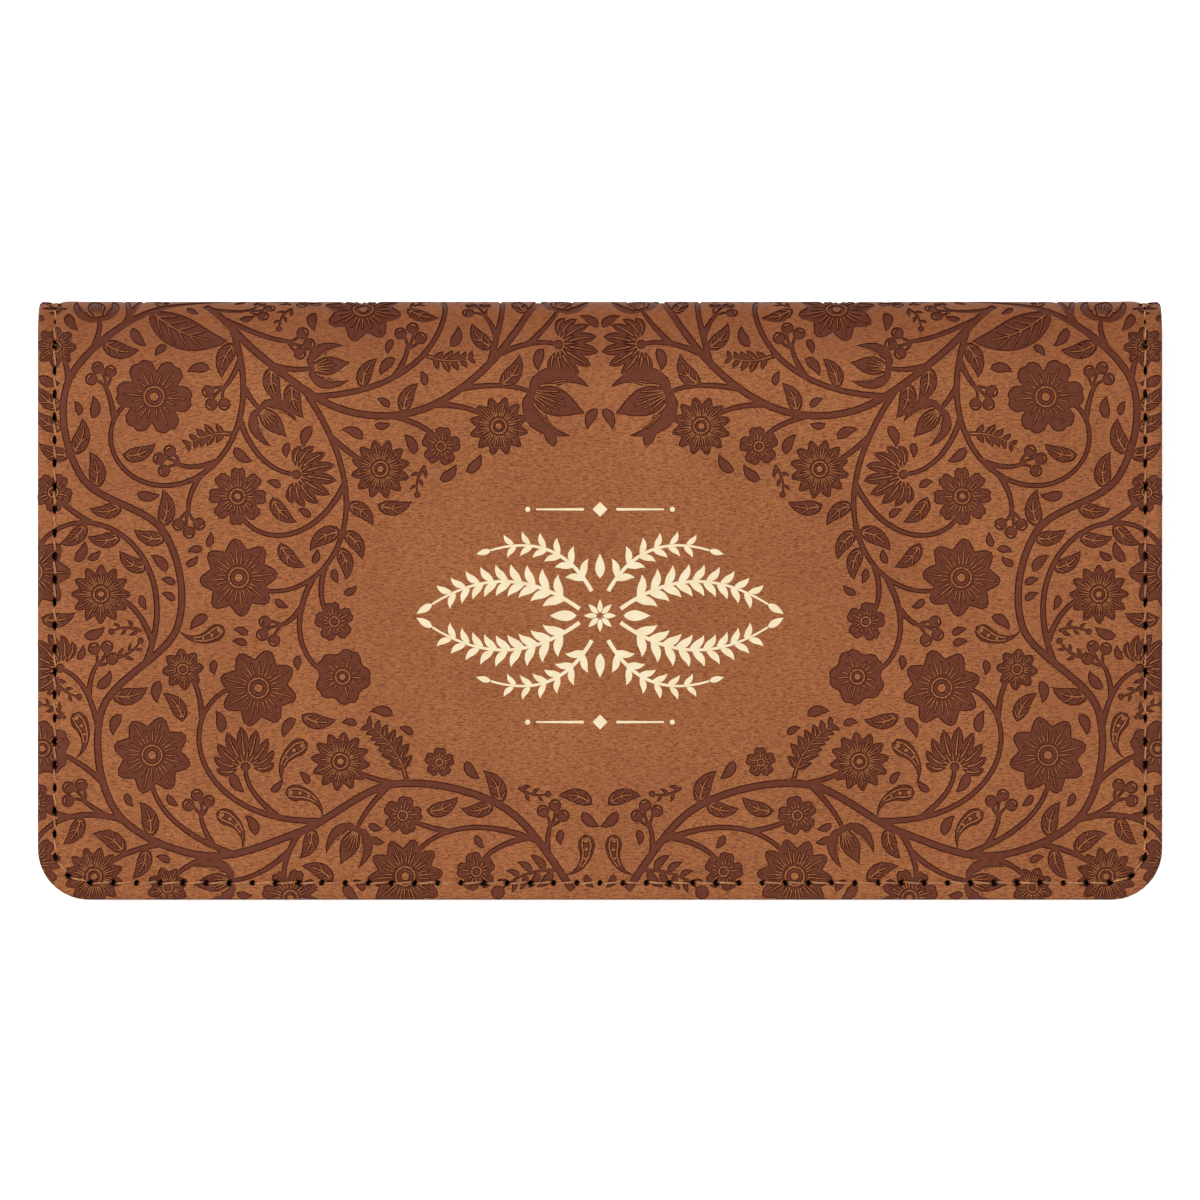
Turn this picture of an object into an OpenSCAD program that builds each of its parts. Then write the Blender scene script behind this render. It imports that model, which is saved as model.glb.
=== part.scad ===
// Checkbook cover: two stitched panels of faux leather with a soft fold between them, a pocket inside
// each panel, and a clear divider tucked into the lower pocket. It lies closed, front panel up, with
// the fold at +Y. The origin is the middle of the footprint, on the surface that the cover lies on.

/* [Cover] */
// Width of the cover, along the fold
cover_w = 165; // [145:1:190]
// Depth of the closed cover, from the free edge to the outside of the fold
cover_d = 88; // [86:1:105]
// Thickness of the closed cover
cover_h = 12; // [11.5:0.5:16]
// Radius of the four free corners
corner_r = 7.5; // [6:0.5:12]

/* [Layers] */
// Thickness of the embossed outer skin
skin_t = 1.0; // [0.8:0.1:1.3]
// Thickness of the fibre board that stiffens a panel
board_t = 0.7; // [0.5:0.1:0.9]
// Thickness of the lining
lining_t = 0.3; // [0.2:0.05:0.4]
// Thickness of a pocket's sheet
pocket_t = 0.7; // [0.6:0.05:0.8]
// Height of the slit between the lining and a pocket
pocket_gap = 0.6; // [0.5:0.05:0.7]
// Width of the turned edge that carries a pocket on its three sewn sides
turned_w = 5; // [4:0.5:5.5]
// Gap between the turned edges where they meet near a corner
turned_gap = 0.3; // [0.2:0.1:0.6]

/* [Fold] */
// Distance from a board's end to where the fold starts to curve
board_setback = 2; // [1.5:0.25:3]
// Free gap between neighbouring bands of the fold
band_gap = 0.3; // [0.2:0.05:0.4]

/* [Pockets] */
// Depth of the lower pocket, which holds the back of a check pad
check_pocket_d = 68; // [50:1:70]
// Depth of the upper pocket, which holds the back of a register
register_pocket_d = 64; // [45:1:70]
// Distance from a pocket's mouth to its row of stitches
hem_inset = 2.5; // [2:0.25:4]

/* [Divider] */
// Thickness of the clear divider
divider_t = 0.3; // [0.2:0.05:0.35]
// Distance from a board's end to the divider's crease
crease_setback = 2; // [1.5:0.25:3]
// How far the divider's tab reaches into the lower pocket
tab_insert = 24; // [15:1:35]
// Free gap between the tab or flap and the turned edge on each side
divider_side_gap = 2.5; // [1.5:0.25:5]
// Distance from the flap's end to the panel's free edge
flap_margin = 6; // [5:0.5:12]
// Gap between the lower pocket and the flap that lies on it
flap_clear = 0.4; // [0.4:0.05:0.6]
// Radius of the flap's free corners
flap_corner_r = 6; // [3:0.5:10]
// Free gap at the crease, between the tab and the flap
crease_gap = 0.2; // [0.15:0.05:0.3]

/* [Stitching] */
// Distance from the panel's edge to the seam
seam_inset = 2.5; // [2:0.25:3.25]
// Distance between the needle holes
stitch_pitch = 3.4; // [3:0.1:4.5]
// Length of thread that is out of sight at each needle hole
stitch_break = 0.8; // [0.6:0.1:1.2]
// Diameter of the thread
thread_d = 0.45; // [0.35:0.05:0.5]
// Gap between the thread and the face that it lies on
thread_clear = 0.03; // [0.02:0.01:0.05]
// Width of the pressed channel that the thread lies in
channel_w = 0.9; // [0.8:0.05:1.1]
// Depth of the channel in the skin
channel_d = 0.55; // [0.5:0.05:0.6]
// Depth of the channel along a pocket's mouth
hem_channel_d = 0.4; // [0.35:0.05:0.45]

/* [Hidden] */
$fn = 96;
// The fold bends in three equal cells, and its two bands lie between the bend lines
fold_cells = 3;
cell_a = 180 / fold_cells;
fold_r = cover_h / 2;
gap_a = band_gap / 2 / fold_r * 180 / PI;
free_y = -cover_d / 2;
fold_y = cover_d / 2 - fold_r;
board_y = fold_y - board_setback;
lining_z = skin_t + board_t;
lining_top = lining_z + lining_t;
pocket_z = lining_top + pocket_gap;
pocket_top = pocket_z + pocket_t;
check_mouth_y = free_y + check_pocket_d;
register_mouth_y = free_y + register_pocket_d;
// The divider turns back on itself at the crease, from the slit up to the flap
tab_z = lining_top + (pocket_gap - divider_t) / 2;
flap_z = pocket_top + flap_clear;
crease_y = board_y - crease_setback;
crease_r = (flap_z + divider_t - tab_z) / 2;
crease_z = tab_z + crease_r;
crease_gap_a = crease_gap / 2 / crease_r * 180 / PI;
divider_w = cover_w - 2 * (turned_w + divider_side_gap);
// Half of the seam, from the middle of the free edge, round the corner and up the side
seam_r = corner_r - seam_inset;
seam_x = cover_w / 2 - seam_inset;
edge_l = cover_w / 2 - corner_r;
bend_l = seam_r * PI / 2;
side_l = fold_y - free_y - corner_r;
stitch_l = stitch_pitch - stitch_break;
stitch_n = floor((edge_l + bend_l + side_l) / stitch_pitch);
// Round the fold, each half cell takes one stitch
fold_stitch_a = cell_a / 2 - stitch_break / fold_r * 180 / PI;
fold_outer_r = fold_r - channel_d + thread_clear + thread_d / 2;
fold_inner_r = fold_r - skin_t - lining_t - thread_clear - thread_d / 2;
hem_stitch_n = floor((cover_w / 2 - turned_w) / stitch_pitch);
// Cutting bodies run past the faces that they cut
over = 1;
tan_leather = [0.62, 0.38, 0.25];
brown_leather = [0.42, 0.24, 0.17];
lining_brown = [0.36, 0.22, 0.16];
board_grey = [0.60, 0.55, 0.48];
thread_tan = [0.80, 0.58, 0.40];
clear_vinyl = [0.85, 0.90, 0.92, 0.4];

// Direction in the Y-Z plane at an angle round the fold, from straight down at 0 to straight up at 180
function fold_dir(a) = [sin(a), -cos(a)];

// Place and heading of the seam at a distance from the middle of the free edge, as [x, y, angle]
function seam_at(s) =
    s < edge_l
        ? [s, free_y + seam_inset, 0]
        : s < edge_l + bend_l
            ? let (a = (s - edge_l) / seam_r * 180 / PI)
                [edge_l + seam_r * sin(a), free_y + corner_r - seam_r * cos(a), a]
            : [seam_x, free_y + corner_r + s - edge_l - bend_l, 90];

// Turns a profile drawn in Y-Z into a bar along X
module along_x(length) {
    rotate([90, 0, 90])
        linear_extrude(length, center = true)
            children();
}

// Turns a part of the back panel over, into the front panel's place
module at_front() {
    translate([0, 0, cover_h])
        mirror([0, 0, 1])
            children();
}

// Outline of a sheet with rounded corners at its lower end
module sheet_outline(half_w, bottom, top, r) {
    translate([-half_w, bottom + r])
        square([2 * half_w, top - bottom - r]);
    translate([-half_w + r, bottom])
        square([2 * (half_w - r), r]);
    for (side = [-1, 1])
        translate([side * (half_w - r), bottom + r])
            circle(r);
}

// Outline of a panel's layer, drawn in from the cut edge
module panel_outline(inset, top) {
    sheet_outline(cover_w / 2 - inset, free_y + inset, top, corner_r - inset);
}

// Piece of a ring in the Y-Z plane
module ring_piece(centre_y, centre_z, r_out, r_in, a0, a1) {
    reach = 2 * r_out;
    translate([centre_y, centre_z])
        intersection() {
            difference() {
                circle(r_out);
                circle(r_in);
            }
            polygon([[0, 0], reach * fold_dir(a0), reach * fold_dir((a0 + a1) / 2), reach * fold_dir(a1)]);
        }
}

// Piece of the curved fold, between two distances from the fold's outer face
module fold_piece(depth_out, depth_in, a0, a1) {
    ring_piece(fold_y, fold_r, fold_r - depth_out, fold_r - depth_in, a0, a1);
}

// Channels that cross the fold's outer face along both side seams
module fold_channels(a0, a1) {
    for (side = [-1, 1])
        translate([side * seam_x, 0, 0])
            along_x(channel_w)
                fold_piece(-over, channel_d, a0, a1);
}

// Straight length of thread along X
module stitch(length) {
    rotate([0, 90, 0])
        cylinder(d = thread_d, h = length, center = true, $fn = 24);
}

// Curved lengths of thread on both side seams, at an angle round the fold and a distance from its axis
module fold_stitches(a, distance) {
    for (side = [-1, 1])
        translate([side * seam_x, fold_y, fold_r])
            rotate([0, 90, 0])
                rotate([0, 0, a - fold_stitch_a / 2])
                    rotate_extrude(angle = fold_stitch_a)
                        translate([distance, 0])
                            circle(d = thread_d, $fn = 24);
}

// One panel's layers, drawn in the back panel's place

module panel_skin() {
    arc_end = cell_a / 2 - gap_a;
    difference() {
        union() {
            linear_extrude(skin_t)
                panel_outline(0, fold_y);
            along_x(cover_w)
                fold_piece(0, skin_t, 0, arc_end);
        }
        translate([0, 0, -over])
            linear_extrude(channel_d + over)
                difference() {
                    panel_outline(seam_inset - channel_w / 2, fold_y);
                    panel_outline(seam_inset + channel_w / 2, fold_y + over);
                }
        fold_channels(0, cell_a / 2);
    }
}

module panel_board() {
    translate([0, 0, skin_t])
        linear_extrude(board_t)
            panel_outline(0, board_y);
}

module panel_lining() {
    translate([0, 0, lining_z])
        linear_extrude(lining_t)
            panel_outline(0, board_y);
    along_x(cover_w) {
        translate([board_y, skin_t])
            square([lining_t, board_t + lining_t]);
        translate([board_y, skin_t])
            square([board_setback, lining_t]);
        fold_piece(skin_t, skin_t + lining_t, 0, cell_a / 2 - gap_a);
    }
}

module panel_pocket(mouth_y) {
    translate([0, 0, pocket_z])
        difference() {
            linear_extrude(pocket_t)
                panel_outline(0, mouth_y);
            translate([-cover_w, mouth_y - hem_inset - channel_w / 2, pocket_t - hem_channel_d])
                cube([2 * cover_w, channel_w, hem_channel_d + over]);
        }
}

// The pocket sheet's edges are turned under on three sides, as one strip along each side
module panel_turned_edge(mouth_y) {
    inner_x = cover_w / 2 - turned_w;
    inner_y = free_y + turned_w;
    translate([0, 0, lining_top])
        linear_extrude(pocket_gap)
            difference() {
                panel_outline(0, mouth_y);
                translate([-inner_x, inner_y])
                    square([2 * inner_x, mouth_y + over - inner_y]);
                translate([-cover_w, inner_y])
                    square([2 * cover_w, turned_gap]);
            }
}

module panel_seam_outer() {
    z = channel_d - thread_clear - thread_d / 2;
    fold_stitches(cell_a / 4, fold_outer_r);
    for (i = [0 : stitch_n - 1], side = [0, 1])
        let (p = seam_at((i + 0.5) * stitch_pitch))
            mirror([side, 0, 0])
                translate([p[0], p[1], z])
                    rotate([0, 0, p[2]])
                        stitch(stitch_l);
}

// Inside, the thread lies on the pocket up to its mouth and then on the lining
module panel_seam_inner(mouth_y) {
    fold_stitches(cell_a / 4, fold_inner_r);
    for (i = [0 : stitch_n - 1], side = [0, 1])
        let (p = seam_at((i + 0.5) * stitch_pitch))
            let (face_z = p[1] - stitch_l / 2 < mouth_y ? pocket_top : lining_top)
                mirror([side, 0, 0])
                    translate([p[0], p[1], face_z + thread_clear + thread_d / 2])
                        rotate([0, 0, p[2]])
                            stitch(stitch_l);
}

module panel_hem_thread(mouth_y) {
    z = pocket_top - hem_channel_d + thread_clear + thread_d / 2;
    for (i = [0 : hem_stitch_n - 1], side = [-1, 1])
        translate([side * (i + 0.5) * stitch_pitch, mouth_y - hem_inset, z])
            stitch(stitch_l);
}

// Bands of the fold, counted from 0 at the back panel

module band_skin(band) {
    a0 = (band + 0.5) * cell_a + gap_a;
    a1 = (band + 1.5) * cell_a - gap_a;
    difference() {
        along_x(cover_w)
            fold_piece(0, skin_t, a0, a1);
        fold_channels(a0 - gap_a, a1 + gap_a);
    }
}

module band_lining(band) {
    a0 = (band + 0.5) * cell_a + gap_a;
    a1 = (band + 1.5) * cell_a - gap_a;
    along_x(cover_w)
        fold_piece(skin_t, skin_t + lining_t, a0, a1);
}

module band_thread(band, distance) {
    for (half = [0, 1])
        fold_stitches((band + 0.75 + half / 2) * cell_a, distance);
}

// The clear divider

module divider_tab() {
    tab_end_y = check_mouth_y - tab_insert;
    color(clear_vinyl) {
        translate([-divider_w / 2, tab_end_y, tab_z])
            cube([divider_w, crease_y - tab_end_y, divider_t]);
        along_x(divider_w)
            ring_piece(crease_y, crease_z, crease_r, crease_r - divider_t, 0, 90 - crease_gap_a);
    }
}

module divider_flap() {
    color(clear_vinyl) {
        translate([0, 0, flap_z])
            linear_extrude(divider_t)
                sheet_outline(divider_w / 2, free_y + flap_margin, crease_y, flap_corner_r);
        along_x(divider_w)
            ring_piece(crease_y, crease_z, crease_r, crease_r - divider_t, 90 + crease_gap_a, 180);
    }
}

// Back panel, with the check pocket

module back_skin() { color(tan_leather) panel_skin(); }
module back_board() { color(board_grey) panel_board(); }
module back_lining() { color(lining_brown) panel_lining(); }
module check_pocket() { color(brown_leather) panel_pocket(check_mouth_y); }
module check_pocket_turned_edge() { color(brown_leather) panel_turned_edge(check_mouth_y); }
module back_seam_outer_thread() { color(thread_tan) panel_seam_outer(); }
module back_seam_inner_thread() { color(thread_tan) panel_seam_inner(check_mouth_y); }
module check_pocket_hem_thread() { color(thread_tan) panel_hem_thread(check_mouth_y); }

// Fold, from the back panel round to the front one

module fold_skin_lower() { color(tan_leather) band_skin(0); }
module fold_skin_upper() { color(tan_leather) band_skin(1); }
module fold_lining_lower() { color(lining_brown) band_lining(0); }
module fold_lining_upper() { color(lining_brown) band_lining(1); }
module fold_outer_thread_lower() { color(thread_tan) band_thread(0, fold_outer_r); }
module fold_outer_thread_upper() { color(thread_tan) band_thread(1, fold_outer_r); }
module fold_inner_thread_lower() { color(thread_tan) band_thread(0, fold_inner_r); }
module fold_inner_thread_upper() { color(thread_tan) band_thread(1, fold_inner_r); }

// Front panel, with the register pocket

module front_skin() { color(tan_leather) at_front() panel_skin(); }
module front_board() { color(board_grey) at_front() panel_board(); }
module front_lining() { color(lining_brown) at_front() panel_lining(); }
module register_pocket() { color(brown_leather) at_front() panel_pocket(register_mouth_y); }
module register_pocket_turned_edge() { color(brown_leather) at_front() panel_turned_edge(register_mouth_y); }
module front_seam_outer_thread() { color(thread_tan) at_front() panel_seam_outer(); }
module front_seam_inner_thread() { color(thread_tan) at_front() panel_seam_inner(register_mouth_y); }
module register_pocket_hem_thread() { color(thread_tan) at_front() panel_hem_thread(register_mouth_y); }

back_skin();
back_board();
back_lining();
check_pocket();
check_pocket_turned_edge();
back_seam_outer_thread();
back_seam_inner_thread();
check_pocket_hem_thread();
divider_tab();
divider_flap();
fold_skin_lower();
fold_skin_upper();
fold_lining_lower();
fold_lining_upper();
fold_outer_thread_lower();
fold_outer_thread_upper();
fold_inner_thread_lower();
fold_inner_thread_upper();
front_skin();
front_board();
front_lining();
register_pocket();
register_pocket_turned_edge();
front_seam_outer_thread();
front_seam_inner_thread();
register_pocket_hem_thread();
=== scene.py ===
# %% [markdown]
# # A checkbook cover of embossed leather
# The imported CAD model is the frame. The sizes are read from its boxes, and the few that no box tells, such
# as the corner radius and the stitches' pitch, repeat the part's source. The cover is a stack of thin
# sheets. It could be sculpted closed, but it is simpler to draw every layer flat and to bend it round the
# fold with one function.

# %% Load the frame and read its sizes
import random
from math import atan2, cos, degrees, exp, hypot, pi, radians, sin, sqrt

import bmesh
import bpy
import numpy as np
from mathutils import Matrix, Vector
from mathutils.geometry import delaunay_2d_cdt


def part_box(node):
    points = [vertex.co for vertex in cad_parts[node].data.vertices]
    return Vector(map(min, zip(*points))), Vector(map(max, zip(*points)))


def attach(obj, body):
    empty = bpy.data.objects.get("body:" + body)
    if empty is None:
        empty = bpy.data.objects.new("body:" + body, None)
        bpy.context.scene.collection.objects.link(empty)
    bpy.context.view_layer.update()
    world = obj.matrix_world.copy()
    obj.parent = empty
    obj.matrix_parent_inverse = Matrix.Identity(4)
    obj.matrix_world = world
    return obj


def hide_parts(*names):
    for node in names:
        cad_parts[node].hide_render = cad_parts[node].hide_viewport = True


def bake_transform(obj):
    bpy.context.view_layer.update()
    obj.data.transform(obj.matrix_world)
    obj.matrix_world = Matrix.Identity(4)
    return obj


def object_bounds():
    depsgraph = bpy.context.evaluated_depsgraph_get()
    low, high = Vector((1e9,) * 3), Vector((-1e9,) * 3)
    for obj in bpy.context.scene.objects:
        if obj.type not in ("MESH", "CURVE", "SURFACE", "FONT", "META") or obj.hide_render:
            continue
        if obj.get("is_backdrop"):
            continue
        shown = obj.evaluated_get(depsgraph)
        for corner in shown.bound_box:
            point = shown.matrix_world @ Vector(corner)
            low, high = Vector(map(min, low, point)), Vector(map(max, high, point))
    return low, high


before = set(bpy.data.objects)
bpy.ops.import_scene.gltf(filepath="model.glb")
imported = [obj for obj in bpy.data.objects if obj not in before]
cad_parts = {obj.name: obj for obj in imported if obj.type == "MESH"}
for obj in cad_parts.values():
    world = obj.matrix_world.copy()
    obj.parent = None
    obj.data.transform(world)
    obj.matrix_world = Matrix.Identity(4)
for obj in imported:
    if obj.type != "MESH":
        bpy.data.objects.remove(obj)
cad_low, cad_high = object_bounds()
MM = 0.001
front_low, front_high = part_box("front_skin")
back_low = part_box("back_skin")[0]
WIDTH = (front_high.x - front_low.x) / MM
THICKNESS = (front_high.z - back_low.z) / MM
FREE_EDGE = front_low.y / MM
FOLD_RADIUS = THICKNESS / 2
FOLD_Y = max(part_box(f"fold_skin_{part}")[1].y for part in ("lower", "upper")) / MM - FOLD_RADIUS
FRONT_V = FOLD_Y - FREE_EDGE
FOLD_THIRD = pi * FOLD_RADIUS / 3
SHEET_V = 2 * FRONT_V + pi * FOLD_RADIUS
HALF = WIDTH / 2
CORNER_RADIUS = 7.5
SKIN = (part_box("back_board")[0].z - back_low.z) / MM
LINING_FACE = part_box("check_pocket_turned_edge")[0].z / MM
LINING = LINING_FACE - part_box("back_board")[1].z / MM
POCKET_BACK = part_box("check_pocket")[0].z / MM
POCKET_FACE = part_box("check_pocket")[1].z / MM
CHECK_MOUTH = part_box("check_pocket")[1].y / MM
REGISTER_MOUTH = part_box("register_pocket")[1].y / MM
print(f"cover {WIDTH:.1f} x {FRONT_V:.1f} mm flat, sheet {SHEET_V:.1f} mm, skin {SKIN:.2f}, "
      f"lining {LINING:.2f} down to {LINING_FACE:.2f}, pocket {POCKET_BACK:.2f} to {POCKET_FACE:.2f}")

# %% [markdown]
# ## From the flat sheet to the folded cover
# A point on the sheet has u across, v from the front's free edge over the fold to the back's free edge,
# and h, its height above the outer face. Everything below is drawn in u and v, in millimetres.
# That is how the real skin is made too: it is embossed and foiled flat, and folded afterwards.

# %% Folding function
ROW_STEPS = 30


def folded(u, v, h):
    """A point of the flat sheet, in metres, where it lies on the closed cover."""
    if v <= FRONT_V:
        y, z = v + FREE_EDGE, THICKNESS + h
    elif v >= SHEET_V - FRONT_V:
        y, z = FREE_EDGE + SHEET_V - v, -h
    else:
        turn = pi - (v - FRONT_V) / FOLD_RADIUS
        y = FOLD_Y + (FOLD_RADIUS + h) * sin(turn)
        z = FOLD_RADIUS - (FOLD_RADIUS + h) * cos(turn)
    return Vector((u * MM, y * MM, z * MM))

# %% Flat outlines
def arc(cx, cy, r, start, end, n):
    """Points on a circle's arc, angles in degrees."""
    angles = [radians(start + (end - start) * i / n) for i in range(n + 1)]
    return [(cx + r * cos(a), cy + r * sin(a)) for a in angles]


def border(inset, low, high):
    """The sheet's right, lower and left side between two v, moved in by inset, with the free corners."""
    side, r = HALF - inset, CORNER_RADIUS - inset
    right = [(side, high)]
    if low < inset + r:
        right += [(side, v) for v in spaced(high, CORNER_RADIUS)]
        right += arc(side - r, inset + r, r, 0, -90, 9)
        right += [(u, inset) for u in spaced(side - r, 0)] + [(0, inset)]
    else:
        right += [(side, v) for v in spaced(high, low)] + [(side, low)]
    return right + [(-u, v) for u, v in reversed(right) if u > 0]


def spaced(a, b, step=2.2):
    """Values between a and b, without the ends."""
    n = max(1, round(abs(b - a) / step))
    return [a + (b - a) * i / n for i in range(1, n)]


def row(v, half=HALF):
    """A line straight across the sheet."""
    return [(half * k / ROW_STEPS, v) for k in range(-ROW_STEPS, ROW_STEPS + 1)]


def turned_over(points):
    """The same points seen from the sheet's other free edge."""
    return [(u, SHEET_V - v) for u, v in points]


def edge_distance(u, v):
    """How far a point lies inside the sheet's outline."""
    v = min(v, SHEET_V - v)
    du, dv = HALF - abs(u), v
    if du < CORNER_RADIUS and dv < CORNER_RADIUS:
        return CORNER_RADIUS - hypot(CORNER_RADIUS - du, CORNER_RADIUS - dv)
    return min(du, dv)


print("the fold's crown is at", [round(c / MM, 2) for c in folded(0, SHEET_V / 2, 0)])

# %% [markdown]
# ## The embossed pattern: motifs
# The real cover is pressed with a hot plate, so a motif is a flat shape that lies lower than the leather
# round it, with raised veins. Each function returns its shapes, in painting order, and a few discs that
# cover it, which later keep motifs apart. A motif grows from (0, 0) along +u.

# %% Strokes
def curve(a, b, bend, n):
    """Points from a to b along a parabola that stands off by bend times its length."""
    du, dv = b[0] - a[0], b[1] - a[1]
    steps = [i / n for i in range(n + 1)]
    return [(a[0] + du * t - dv * bend * 4 * t * (1 - t), a[1] + dv * t + du * bend * 4 * t * (1 - t))
            for t in steps]


def stroke(path, widths):
    """The outline of a line whose width changes along its path."""
    left, right, last = [], [], len(path) - 1
    for i, (u, v) in enumerate(path):
        (u0, v0), (u1, v1) = path[max(i - 1, 0)], path[min(i + 1, last)]
        length = hypot(u1 - u0, v1 - v0)
        nu, nv = (v0 - v1) / length * widths[i] / 2, (u1 - u0) / length * widths[i] / 2
        right.append((u - nu, v - nv))
        if widths[i] > 0.02:
            left.append((u + nu, v + nv))
    return right + left[::-1]


def tapered(path, start, end):
    n = len(path) - 1
    return stroke(path, [start + (end - start) * i / n for i in range(n + 1)])


def vein(path, width=0.22):
    return ("vein", tapered(path, width, width * 0.45))


def circle(u, v, r, n):
    return arc(u, v, r, 0, 360 - 360 / n, n - 1)

# %% Places along a path
def heading(path, i):
    """The direction of a path at one of its points."""
    (u0, v0), (u1, v1) = path[max(i - 1, 0)], path[min(i + 1, len(path) - 1)]
    return atan2(v1 - v0, u1 - u0)


def beside(path, t, off):
    """The point at share t along a path, moved off to its left."""
    f = min(t * (len(path) - 1), len(path) - 1.001)
    i = int(f)
    u, v = (a + (b - a) * (f - i) for a, b in zip(path[i], path[i + 1]))
    a = heading(path[i:i + 2], 0)
    return u - off * sin(a), v + off * cos(a)


# %% A leaf
def leaf(length, width, bend=0.12, ribs=4):
    """A leaf with a midrib and side ribs."""
    n = max(8, int(length / 0.85))
    mid = curve((0, 0), (length, 0), bend, n)
    widths = [width * sin(pi * (i / n) ** 0.75) ** 0.85 if 0 < i < n else 0 for i in range(n + 1)]
    shapes = [("press", stroke(mid, widths))]
    if ribs:
        shapes.append(vein(mid[1:int(n * 0.84) + 1], 0.28))
    for k in range(ribs):
        t = 0.12 + 0.6 * k / ribs
        reach = widths[min(n, int((t + 0.17) * n))] * 0.4
        if reach > 0.45:
            for side in (-1, 1):
                shapes.append(vein([beside(mid, t + 0.085 * j, side * (0.15 + (reach - 0.15) * j / 2))
                                    for j in range(3)], 0.18))
    return shapes, [(*mid[int(n * t)], widths[int(n * t)] * 0.51) for t in (0.12, 0.3, 0.5, 0.7, 0.88)]

# %% A fern
def fern(length, width, bend=0.14, pairs=7):
    """A frond with pointed leaflets in pairs."""
    mid = curve((0, 0), (length, 0), bend, 14)
    shapes, discs = [("press", tapered(mid, 0.8, 0))], []
    for k in range(pairs):
        t = 0.16 + 0.76 * k / pairs
        root, turn = beside(mid, t, 0), heading(mid, int(t * 14))
        reach = width / 2 * (1.12 - 0.75 * t) * (0.75 if k == 0 else 1)
        for side in (-1, 1):
            tip = root[0] + reach * cos(turn + side * 0.9), root[1] + reach * sin(turn + side * 0.9)
            blade = min(length / pairs * 0.8, reach * 0.5)
            spine = curve(root, tip, -side * 0.1, 6)
            shapes.append(("press", stroke(spine, [blade * w for w in (0.3, 0.7, 0.95, 1, 0.85, 0.5, 0)])))
            if reach > 2.2:
                shapes.append(vein(spine[1:6], 0.18))
        discs.append((*root, reach * 0.8))
    return shapes + [vein(mid[1:-3], 0.2)], discs

# %% A sprig
def sprig(length, side=1, pairs=3):
    """A short stem with small leaves and a berry at its tip."""
    mid = curve((0, 0), (length, 0), 0.12 * side, 10)
    shapes, discs = [("press", tapered(mid, 0.55, 0.25))], []
    for k in range(pairs * 2):
        i, way = 1 + int(8 * k / (pairs * 2)), (1 if k % 2 else -1)
        turn, reach = heading(mid, i) + way * 0.84, length * 0.36 * (1 - 0.07 * k)
        tip = mid[i][0] + reach * cos(turn), mid[i][1] + reach * sin(turn)
        shapes.append(("press", stroke(curve(mid[i], tip, 0.12 * way, 6),
                                       [reach * 0.42 * w for w in (0.15, 0.75, 1, 0.95, 0.75, 0.42, 0)])))
        middle = mid[i][0] + 0.55 * reach * cos(turn), mid[i][1] + 0.55 * reach * sin(turn)
        discs.append((*middle, reach * 0.36))
    shapes.append(("press", circle(*mid[-1], length * 0.11, 12)))
    return shapes, discs + [(*mid[-1], length * 0.11)]


# %% A flower seen from above
def blossom(r, petals, cleft=0.34, point=0.55, lines=3):
    """A flower seen from above: its outline swings out once for each petal."""
    n = petals * max(6, int(2 * pi * r / petals / 0.7))
    def rim(a):
        notch = 0.07 * max(0, cos(petals * a)) ** 6 if point < 1 else 0
        return r * (1 - cleft + cleft * abs(cos(petals * a / 2)) ** point - notch)
    outline = [(rim(2 * pi * i / n) * cos(2 * pi * i / n), rim(2 * pi * i / n) * sin(2 * pi * i / n))
               for i in range(n)]
    core = r * 0.27
    shapes = [("press", outline), ("vein", circle(0, 0, core, 14)), ("press", circle(0, 0, core - 0.22, 12))]
    if r > 3.4:
        shapes.append(("vein", circle(0, 0, core * 0.4, 8)))
    for k in range(petals):
        for j in range(lines):
            off = (j - (lines - 1) / 2) / max(lines - 1, 1)
            a = 2 * pi * k / petals + off * 1.15 * pi / petals
            reach = r * (1 - cleft) * (1.18 - 0.62 * abs(off))
            shapes.append(vein([(d * cos(a), d * sin(a)) for d in (core * 1.25, reach)], 0.18))
    return shapes, [(0, 0, r * 0.97)]

# %% A flower seen from the side
def tulip(size):
    """A flower seen from the side: two outer petals behind a tall one, and two small sepals."""
    swelling = (0.10, 0.24, 0.32, 0.36, 0.37, 0.35, 0.31, 0.26, 0.21, 0.16, 0.11, 0.06, 0)
    spine = curve((0, 0.02 * size), (size * 0.92, size * 0.44), 0.22, 12)
    petal = stroke(spine, [size * w for w in swelling])
    n = 16
    widths = [size * 0.52 * sin(pi * (i / n) ** 0.8) ** 0.9 if 0 < i < n else 0 for i in range(n + 1)]
    mid = curve((0, 0), (size, 0), 0, n)
    shapes = [("press", petal), ("press", [(u, -v) for u, v in petal]), ("press", stroke(mid, widths))]
    for side in (1, -1):
        rim = [(u, side * w / 2) for (u, v), w in zip(mid, widths)][2:-1]
        shapes.append(("vein", stroke(rim, [0.24] * len(rim))))
        for k in (1, 2):
            shapes.append(vein([(size * (0.30 + 0.1 * j), side * size * (0.20 + 0.062 * j + 0.045 * k))
                                for j in range(5 - k)], 0.18))
        sepal = curve((size * 0.06, 0), (size * 0.14, side * size * 0.42), side * 0.25, 6)
        shapes.append(("press", stroke(sepal, [size * w for w in (0.08, 0.11, 0.12, 0.11, 0.08, 0.05, 0)])))
    for k in (-2, -1, 0, 1, 2):
        shapes.append(vein([(size * (0.1 + 0.09 * j), k * size * 0.062 * (0.5 + 0.25 * min(j, 4)))
                            for j in range(7 - abs(k))], 0.2))
    return shapes, [(size * 0.3, 0, size * 0.36), (size * 0.6, 0, size * 0.36),
                    (size * 0.85, 0.3 * size, size * 0.16), (size * 0.85, -0.3 * size, size * 0.16)]

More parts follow.
